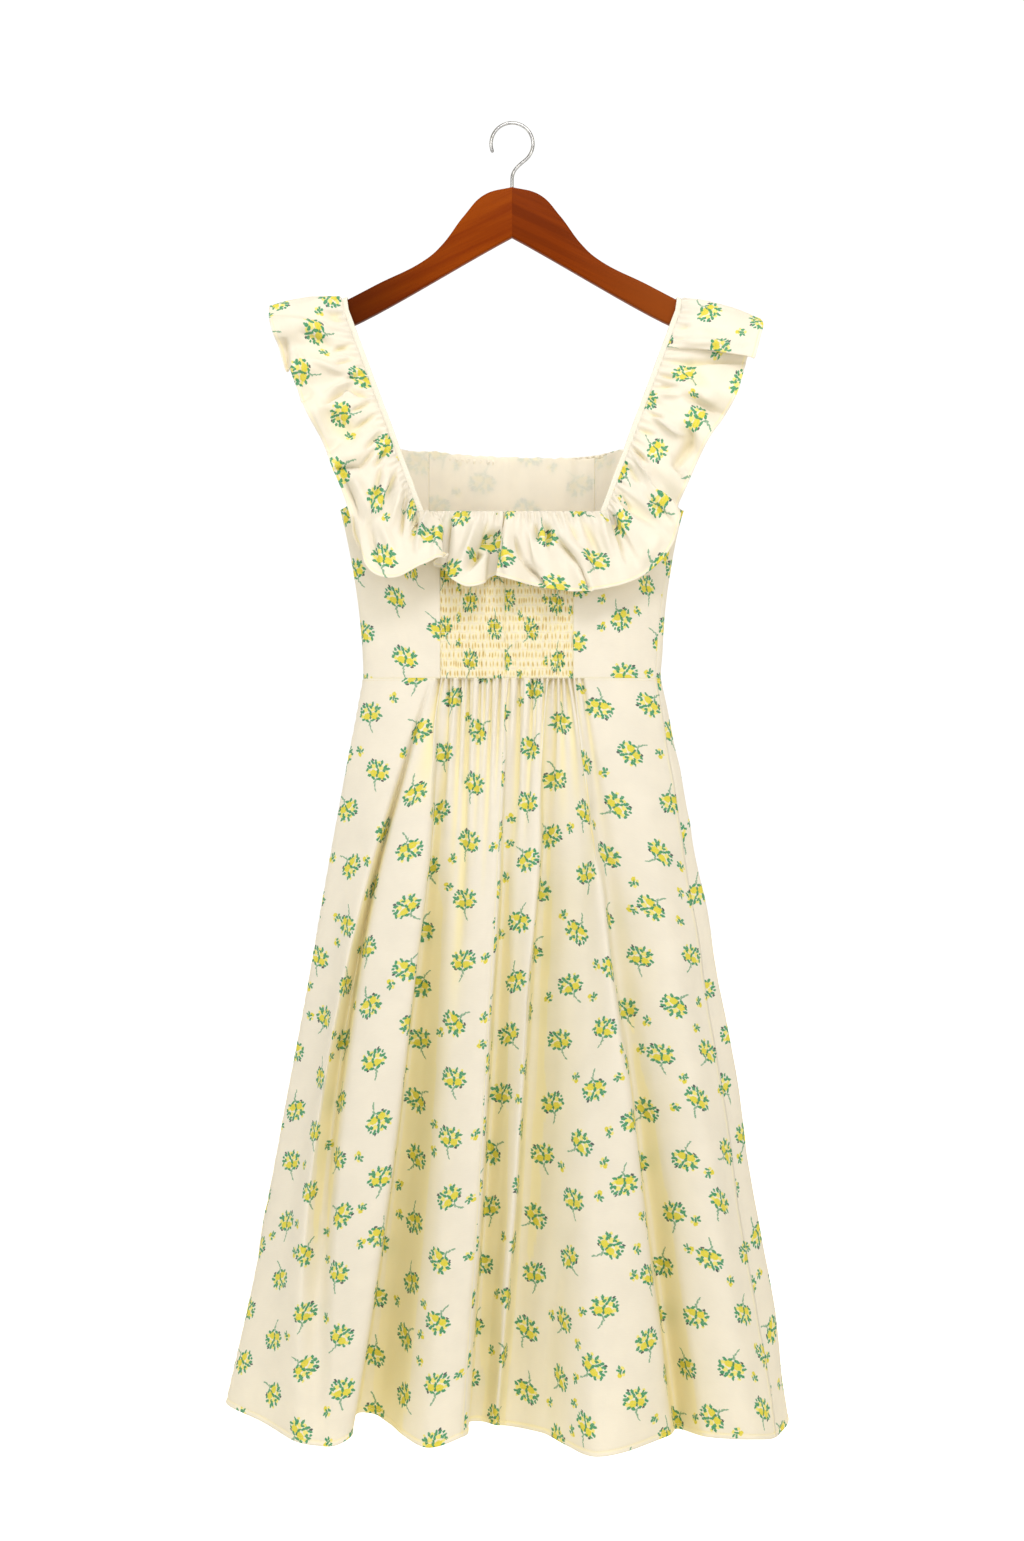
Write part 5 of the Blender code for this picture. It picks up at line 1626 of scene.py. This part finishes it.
# The print's posy, each petal or leaf an ellipse: x, y, half width, half height in mm and lean in degrees
POSY = {
    "tan": ((0.0, 1.6, 1.6, 1.3, 10), (-6.0, -3.0, 1.5, 1.2, 30)),
    "pale": (
        (-1.2, 4.6, 2.3, 2.0, 10), (5.4, 2.6, 2.2, 1.9, -20), (-6.2, 3.0, 1.9, 1.7, 0),
        (7.2, -2.8, 1.7, 1.5, 20), (2.2, 7.4, 1.5, 1.5, 0), (-4.4, 8.8, 1.2, 1.2, 0),
    ),
    "yellow": ((-3.5, -0.8, 3.3, 3.0, 20), (2.7, -2.3, 3.3, 3.0, -15)),
    "leaf": (
        (-4.0, 6.2, 1.15, 2.3, 18), (-6.4, 6.2, 1.1, 1.9, 56), (-0.2, 8.6, 1.05, 2.3, -4),
        (1.0, 6.0, 1.7, 1.0, 30), (4.6, 6.6, 1.15, 2.5, -34), (7.4, 5.4, 2.1, 1.1, 24),
        (-8.2, 0.8, 2.1, 1.1, 26), (-7.2, -2.2, 1.7, 1.0, -24), (8.8, 0.4, 2.1, 1.15, 14),
        (9.2, -2.4, 1.0, 1.8, 14), (0.2, 1.0, 1.05, 2.3, -20), (-3.0, -4.4, 2.1, 1.1, -26),
        (1.8, -5.8, 2.1, 1.1, 20), (5.6, -5.4, 1.8, 1.1, -34), (2.6, 3.8, 1.0, 1.9, -34),
        (-4.4, 3.6, 1.0, 1.6, 30), (7.0, 1.4, 1.0, 1.5, -20), (9.6, 3.4, 1.3, 0.9, 40),
    ),
    "stem": (
        (-0.8, -7.2, 0.72, 2.4, 14), (-2.0, -10.4, 0.66, 2.3, -22), (-3.8, -13.2, 0.6, 2.0, -40),
    ),
    "deep": ((-0.4, -2.6, 0.8, 1.7, -12),),
    "navy": ((7.8, 7.4, 1.4, 0.8, 28), (-6.4, -4.2, 1.3, 0.8, -30)),
}
# A small sprig that lies between the posies
SPRIG = {
    "yellow": ((-1.3, 1.4, 2.0, 1.8, 10),),
    "pale": ((2.3, -2.6, 1.5, 1.2, 30), (-2.2, -1.8, 1.1, 1.2, 0)),
    "leaf": (
        (0.7, -0.4, 2.2, 0.95, -42), (2.3, 1.6, 0.9, 1.7, -34), (-0.5, -2.7, 0.9, 1.7, 22),
        (3.6, -0.2, 1.5, 0.9, 8),
    ),
}
INKS = {
    "tan": tone(222, 196, 138),
    "pale": tone(240, 228, 96),
    "yellow": tone(226, 214, 24),
    "leaf": tone(14, 146, 98),
    "stem": tone(38, 146, 104),
    "deep": tone(48, 134, 92),
    "navy": tone(22, 56, 60),
}
INK_ORDER = ("tan", "pale", "yellow", "stem", "leaf", "deep", "navy")
INK_STRENGTHS = {"tan": 0.55, "pale": 0.85, "stem": 0.75}


def motif_group():
    """A node group that turns a place on the flat cloth, in millimetres, into the print's masks."""
    group = bpy.data.node_groups.new("floral_print", "ShaderNodeTree")
    group.interface.new_socket("Place", in_out="INPUT", socket_type="NodeSocketVector")
    for name in INK_ORDER:
        group.interface.new_socket(name, in_out="OUTPUT", socket_type="NodeSocketFloat")
    nodes = Tree(group)
    maths = nodes.maths
    place = nodes.put("NodeGroupInput").outputs["Place"]
    result = nodes.put("NodeGroupOutput")
    ragged = nodes.vector("SUBTRACT", nodes.noise(place, RAGGED_SCALE, 1.0)["Color"], (0.5, 0.5, 0.5))
    ragged = nodes.stretched(ragged, RAGGED_REACH, RAGGED_REACH, 0.0)

    def in_cell(way, cell, size, draw, jitter):
        """A place measured from the middle of its cell, moved by the cell's own draw."""
        from_middle = maths("MULTIPLY", maths("SUBTRACT", maths("SUBTRACT", way, cell), 0.5), size)
        return maths("ADD", from_middle, maths("MULTIPLY_ADD", draw, jitter, -jitter / 2))

    def cells(width, height, shift_x, shift_y, jitter, quarter):
        """Places measured from the middle of half-drop cells, each jittered, turned and flipped."""
        x, y, _ = nodes.split(place)
        x = maths("DIVIDE", maths("ADD", x, shift_x), width)
        column = maths("FLOOR", x)
        drop = maths("MULTIPLY", maths("MODULO", maths("ADD", column, EVEN_SHIFT), 2.0), 0.5)
        y = maths("DIVIDE", maths("ADD", y, shift_y), height)
        y = maths("ADD", y, drop)
        row = maths("FLOOR", y)
        middle = nodes.join(maths("ADD", column, 0.5), maths("ADD", row, 0.5), shift_x)
        random = nodes.put("ShaderNodeTexWhiteNoise", {"Vector": middle}, noise_dimensions="3D")
        draws = nodes.put("ShaderNodeSeparateColor", {0: random.outputs["Color"]})
        first, second, third = draws.outputs
        local = nodes.join(in_cell(x, column, width, first, jitter), in_cell(y, row, height, second, jitter))
        quarters = maths("FLOOR", maths("MULTIPLY", third, quarter))
        lean = maths("MULTIPLY_ADD", first, POSY_LEAN, -POSY_LEAN / 2)
        turn = maths("MULTIPLY_ADD", quarters, 2 * math.pi / quarter, lean)
        moved = nodes.put("ShaderNodeVectorRotate", {"Vector": local, "Angle": turn}, rotation_type="Z_AXIS")
        flip = maths("SUBTRACT", maths("MULTIPLY", maths("GREATER_THAN", second, 0.5), 2.0), 1.0)
        moved = nodes.vector("MULTIPLY", moved.outputs[0], nodes.join(flip, 1.0, 1.0))
        smaller = nodes.stretched(moved, POSY_NARROWING / POSY_SCALE, POSY_SHORTENING / POSY_SCALE, 1.0)
        return nodes.vector("ADD", smaller, ragged), random.outputs["Value"]

    posy_place, _ = cells(POSY_WIDTH, POSY_HEIGHT, 0.0, 0.0, POSY_JITTER, POSY_TURNS)
    sprig_place, chance = cells(
        POSY_WIDTH, POSY_HEIGHT / 2, POSY_WIDTH / 2, POSY_HEIGHT / 4, SPRIG_JITTER, SPRIG_TURNS
    )
    missing = maths("GREATER_THAN", chance, SPRIG_SHARE)
    for name in INK_ORDER:
        distance = nodes.spots(posy_place, POSY[name])
        if name in SPRIG:
            sprig = maths("MULTIPLY_ADD", missing, FAR_AWAY, nodes.spots(sprig_place, SPRIG[name]))
            distance = maths("MINIMUM", distance, sprig)
        nodes.tree.links.new(nodes.ramp(distance, *INK_EDGE, 1.0, 0.0), result.inputs[name])
    return group


def new_look(name):
    """A new material, its node tree and its shader."""
    made = bpy.data.materials.new(name)
    made.use_nodes = True
    return made, Tree(made.node_tree), made.node_tree.nodes["Principled BSDF"]


def cloth_look(name, group, base, ink_strength, through):
    """Printed cotton: ink over a plain weave, with painted shade in its creases, and light coming through."""
    made, nodes, shader = new_look(name)
    place = nodes.stretched(nodes.put("ShaderNodeUVMap", uv_map="cloth").outputs[0], 1000.0, 1000.0, 0.0)
    inks = nodes.put("ShaderNodeGroup", {"Place": place}, node_tree=group)
    # Painted shade: as this attribute grows, the colour turns warm, then deep golden
    painted_shade = nodes.put("ShaderNodeAttribute", attribute_name="painted_shade").outputs["Fac"]
    mottle = nodes.noise(place, 0.035, 3.0)["Fac"]
    colour = nodes.mix(nodes.ramp(mottle, 0.3, 0.7), base, darker(base, 0.965))
    colour = nodes.mix(nodes.ramp(painted_shade, 0.0, 0.5), colour, PAINTED_WARM_SHADE)
    colour = nodes.mix(nodes.ramp(painted_shade, 0.4, 1.1), colour, PAINTED_DEEP_SHADE)
    patchy = nodes.ramp(nodes.noise(place, 1.1, 2.0)["Fac"], 0.25, 0.5, 0.72, 1.0)
    for ink in INK_ORDER:
        share = nodes.maths("MULTIPLY", inks.outputs[ink], ink_strength * INK_STRENGTHS.get(ink, 0.95))
        share = nodes.maths("MULTIPLY", share, patchy)
        # Ink darkens with the painted shade too
        inked = nodes.mix(nodes.maths("MULTIPLY", painted_shade, 0.5), INKS[ink], darker(INKS[ink], 0.55))
        colour = nodes.mix(share, colour, inked)
    x, y, _ = nodes.split(place)
    warp = nodes.maths("SINE", nodes.maths("MULTIPLY", x, 2 * math.pi / THREAD_SPACING))
    weft = nodes.maths("SINE", nodes.maths("MULTIPLY", y, 2 * math.pi / THREAD_SPACING))
    weave = nodes.maths("MULTIPLY", warp, weft)
    slubs = nodes.noise(nodes.stretched(place, 0.12, 1.6, 1.0), 1.0, 3.0)["Fac"]
    height = nodes.maths("MULTIPLY_ADD", slubs, 1.4, nodes.maths("MULTIPLY", weave, 0.35))
    bump = nodes.bump(height, 0.22, 0.0002)
    colour = nodes.mix(nodes.ramp(slubs, 0.35, 0.75, 0.0, 0.10), colour, WHITE)
    nodes.fill(shader, {
        "Base Color": colour, "Normal": bump, "Roughness": 0.86, "Sheen Weight": 0.05,
        "Sheen Roughness": 0.5, "Specular IOR Level": 0.15,
    })
    warm = nodes.mix(1.0, colour, THROUGH_TONE, "MULTIPLY")
    glow = nodes.put("ShaderNodeBsdfTranslucent", {"Color": warm, "Normal": bump})
    both = nodes.put("ShaderNodeMixShader", {0: through, 1: shader.outputs[0], 2: glow.outputs[0]})
    nodes.fill(made.node_tree.nodes["Material Output"], {"Surface": both.outputs[0]})
    return made


def thread_look():
    """Cream sewing thread with a fine twist."""
    made, nodes, shader = new_look("sewing_thread")
    twist = nodes.noise(nodes.put("ShaderNodeTexCoord").outputs["Object"], 900.0, 2.0)["Fac"]
    nodes.fill(shader, {
        "Base Color": nodes.mix(nodes.ramp(twist, 0.3, 0.7), tone(246, 238, 214), tone(232, 216, 176)),
        "Normal": nodes.bump(twist, 0.4, 0.0002),
        "Roughness": 0.7,
    })
    return made


def strap_look():
    """Ivory ribbed elastic with fine lengthwise threads."""
    made, nodes, shader = new_look("ribbed_elastic")
    place = nodes.put("ShaderNodeTexCoord").outputs["Object"]
    fuzz = nodes.noise(place, 1400.0, 3.0)["Fac"]
    soft = nodes.noise(place, 60.0, 2.0)["Fac"]
    colour = nodes.mix(nodes.ramp(fuzz, 0.3, 0.75), tone(216, 211, 198), tone(231, 228, 220))
    nodes.fill(shader, {
        "Base Color": nodes.mix(nodes.ramp(soft, 0.4, 0.8, 0.0, 0.25), colour, tone(224, 217, 198)),
        "Normal": nodes.bump(fuzz, 0.35, 0.0002),
        "Roughness": 0.8,
        "Sheen Weight": 0.2,
    })
    return made


def wood_look(name, dark, middle, light, end, lean):
    """Varnished hardwood whose grain runs along the arm."""
    made, nodes, shader = new_look(name)
    place = nodes.put("ShaderNodeTexCoord").outputs["Object"]
    turned = nodes.put("ShaderNodeVectorRotate", {"Vector": place, "Angle": lean}, rotation_type="Y_AXIS")
    along = turned.outputs[0]
    broad = nodes.noise(nodes.stretched(along, 5.0, 110.0, 120.0), 1.0, 4.0, 0.6)["Fac"]
    fine = nodes.noise(nodes.stretched(along, 30.0, 700.0, 800.0), 1.0, 3.0, 0.6)["Fac"]
    pores = nodes.noise(nodes.stretched(along, 90.0, 1500.0, 1700.0), 1.0, 2.0)["Fac"]
    colour = nodes.mix(nodes.ramp(broad, 0.30, 0.62), tone(*dark), tone(*middle))
    colour = nodes.mix(nodes.ramp(broad, 0.55, 0.85, 0.0, 0.7), colour, tone(*light))
    colour = nodes.mix(nodes.ramp(fine, 0.40, 0.75, 0.0, 0.35), colour, tone(*dark))
    colour = nodes.mix(nodes.ramp(pores, 0.62, 0.72, 0.0, 0.35), colour, darker(tone(*dark), 0.5))
    to_end = nodes.maths("ABSOLUTE", nodes.split(place)[0])
    nodes.fill(shader, {
        "Base Color": nodes.mix(nodes.ramp(to_end, *WOOD_END, 0.0, 0.85), colour, tone(*end)),
        "Roughness": nodes.ramp(fine, 0.3, 0.8, 0.34, 0.50),
        "Normal": nodes.bump(fine, 0.12, 0.0004),
        "Specular IOR Level": 0.03,
    })
    return made


def metal_look():
    """Polished steel wire with faint scuffs."""
    made, nodes, shader = new_look("polished_steel")
    place = nodes.put("ShaderNodeTexCoord").outputs["Object"]
    scuffs = nodes.noise(nodes.stretched(place, 400.0, 400.0, 90.0), 1.0, 4.0)["Fac"]
    nodes.fill(shader, {
        "Base Color": nodes.mix(nodes.ramp(scuffs, 0.35, 0.7), tone(140, 140, 143), tone(176, 176, 176)),
        "Roughness": nodes.ramp(scuffs, 0.3, 0.8, 0.14, 0.30),
        "Metallic": 1.0,
    })
    return made


# The floor, the light and the camera


def add_backdrop(name, look, shape):
    """A piece of the stage, drawn by shape, from which no diffuse light falls on the object."""
    mesh = bpy.data.meshes.new(name)
    work = bmesh.new()
    shape(work)
    work.to_mesh(mesh)
    work.free()
    mesh.materials.append(look)
    made = bpy.data.objects.new(name, mesh)
    made.visible_diffuse = False
    bpy.context.scene.collection.objects.link(made)
    return made


def add_stage():
    """A pale floor that runs out of sight."""
    made, nodes, shader = new_look("pale_floor")
    nodes.fill(shader, {
        "Base Color": (0.9, 0.9, 0.9, 1.0), "Roughness": 0.9, "Specular IOR Level": 0.1,
        "Emission Color": WHITE, "Emission Strength": FLOOR_GLOW,
    })

    def circle(work):
        bmesh.ops.create_circle(work, cap_ends=True, segments=96, radius=FLOOR_RADIUS)

    floor = add_backdrop("floor", made, circle)
    floor.location.z = FLOOR_Z


def add_lamp(name, place, target, size, power, colour):
    lamp = bpy.data.lights.new(name, "AREA")
    lamp.shape = "RECTANGLE"
    lamp.size, lamp.size_y = size
    lamp.energy = power
    lamp.color = colour
    made = bpy.data.objects.new(name, lamp)
    made.location = place
    made.rotation_euler = (Vector(target) - Vector(place)).to_track_quat("-Z", "Y").to_euler()
    made.visible_camera = False
    bpy.context.scene.collection.objects.link(made)


def add_light():
    world = bpy.data.worlds.new("studio")
    bpy.context.scene.world = world
    world.use_nodes = True
    back = world.node_tree.nodes["Background"]
    back.inputs["Color"].default_value = ENVIRONMENT_TONE
    back.inputs["Strength"].default_value = ENVIRONMENT_STRENGTH
    for lamp in LAMPS:
        add_lamp(*lamp)


def add_sky():
    """A white cove far round the object. It shows behind it, and lights nothing."""
    made, nodes, _ = new_look("white_cove")
    glow = nodes.put("ShaderNodeEmission", {"Color": WHITE, "Strength": COVE_GLOW})
    nodes.fill(made.node_tree.nodes["Material Output"], {"Surface": glow.outputs[0]})

    def ball(work):
        bmesh.ops.create_uvsphere(work, u_segments=48, v_segments=24, radius=COVE_RADIUS)

    cove = add_backdrop("cove", made, ball)
    cove.visible_shadow = cove.visible_transmission = cove.visible_glossy = False


def add_camera():
    """A level camera on the middle line."""
    lens = bpy.data.cameras.new("camera")
    lens.lens = LENS
    lens.sensor_width = SENSOR
    made = bpy.data.objects.new("camera", lens)
    made.location = (0.0, -CAMERA_DISTANCE, CAMERA_Z)
    made.rotation_euler = (math.pi / 2, 0.0, 0.0)
    bpy.context.scene.collection.objects.link(made)
    bpy.context.scene.camera = made


bpy.context.scene.view_settings.view_transform = "Standard"
add_camera()
add_light()
add_stage()
add_sky()
PRINT = motif_group()
LOOKS = {
    "print": cloth_look("printed_cotton", PRINT, CREAM, 1.0, 0.22),
    "wrong_side": cloth_look("wrong_side_of_cotton", PRINT, IVORY, 0.05, 0.40),
    "thread": thread_look(),
    "strap": strap_look(),
    # The two arms' woods differ by painted light on the left and painted shade on the right
    "wood_left": wood_look("varnished_wood_lit_left", *WOODS["wood_left"]),
    "wood_right": wood_look("varnished_wood_shaded_right", *WOODS["wood_right"]),
    "metal": metal_look(),
}
add_arm("hanger_arm_left", True, "wood_left")
add_arm("hanger_arm_right", False, "wood_right")
add_hook()
SHEETS = add_bodice()
add_straps()
for name, ribs, start_x, mirrored, folds, seed in (
    ("ruffle_left", LEFT_BACK_RIBS, CENTRE_BACK_SLIT - CENTRE_BACK_X, True, LEFT_RUFFLE_FOLDS, 61),
    ("ruffle_right", RIGHT_BACK_RIBS, CENTRE_BACK_SLIT + CENTRE_BACK_X, False, RIGHT_RUFFLE_FOLDS, 67),
):
    SHEETS[name] = add_ruffle(name, ribs, start_x, mirrored, folds, seed)
SKIRT, SKIRT_GRID, SKIRT_NORMALS = add_skirt()
SHEETS.update(SKIRT)
HEM_ROW = int(np.argmin(np.abs(SKIRT_GRID[:, 0, 2] - SKIRT_GRID[-1, 0, 2] - SKIRT_HEM)))
add_stitches("waist_stitches", SKIRT_GRID[1], SKIRT_NORMALS[1], *WAIST_STITCHES)
add_stitches("hem_stitches", SKIRT_GRID[HEM_ROW], SKIRT_NORMALS[HEM_ROW], *HEM_STITCHES)
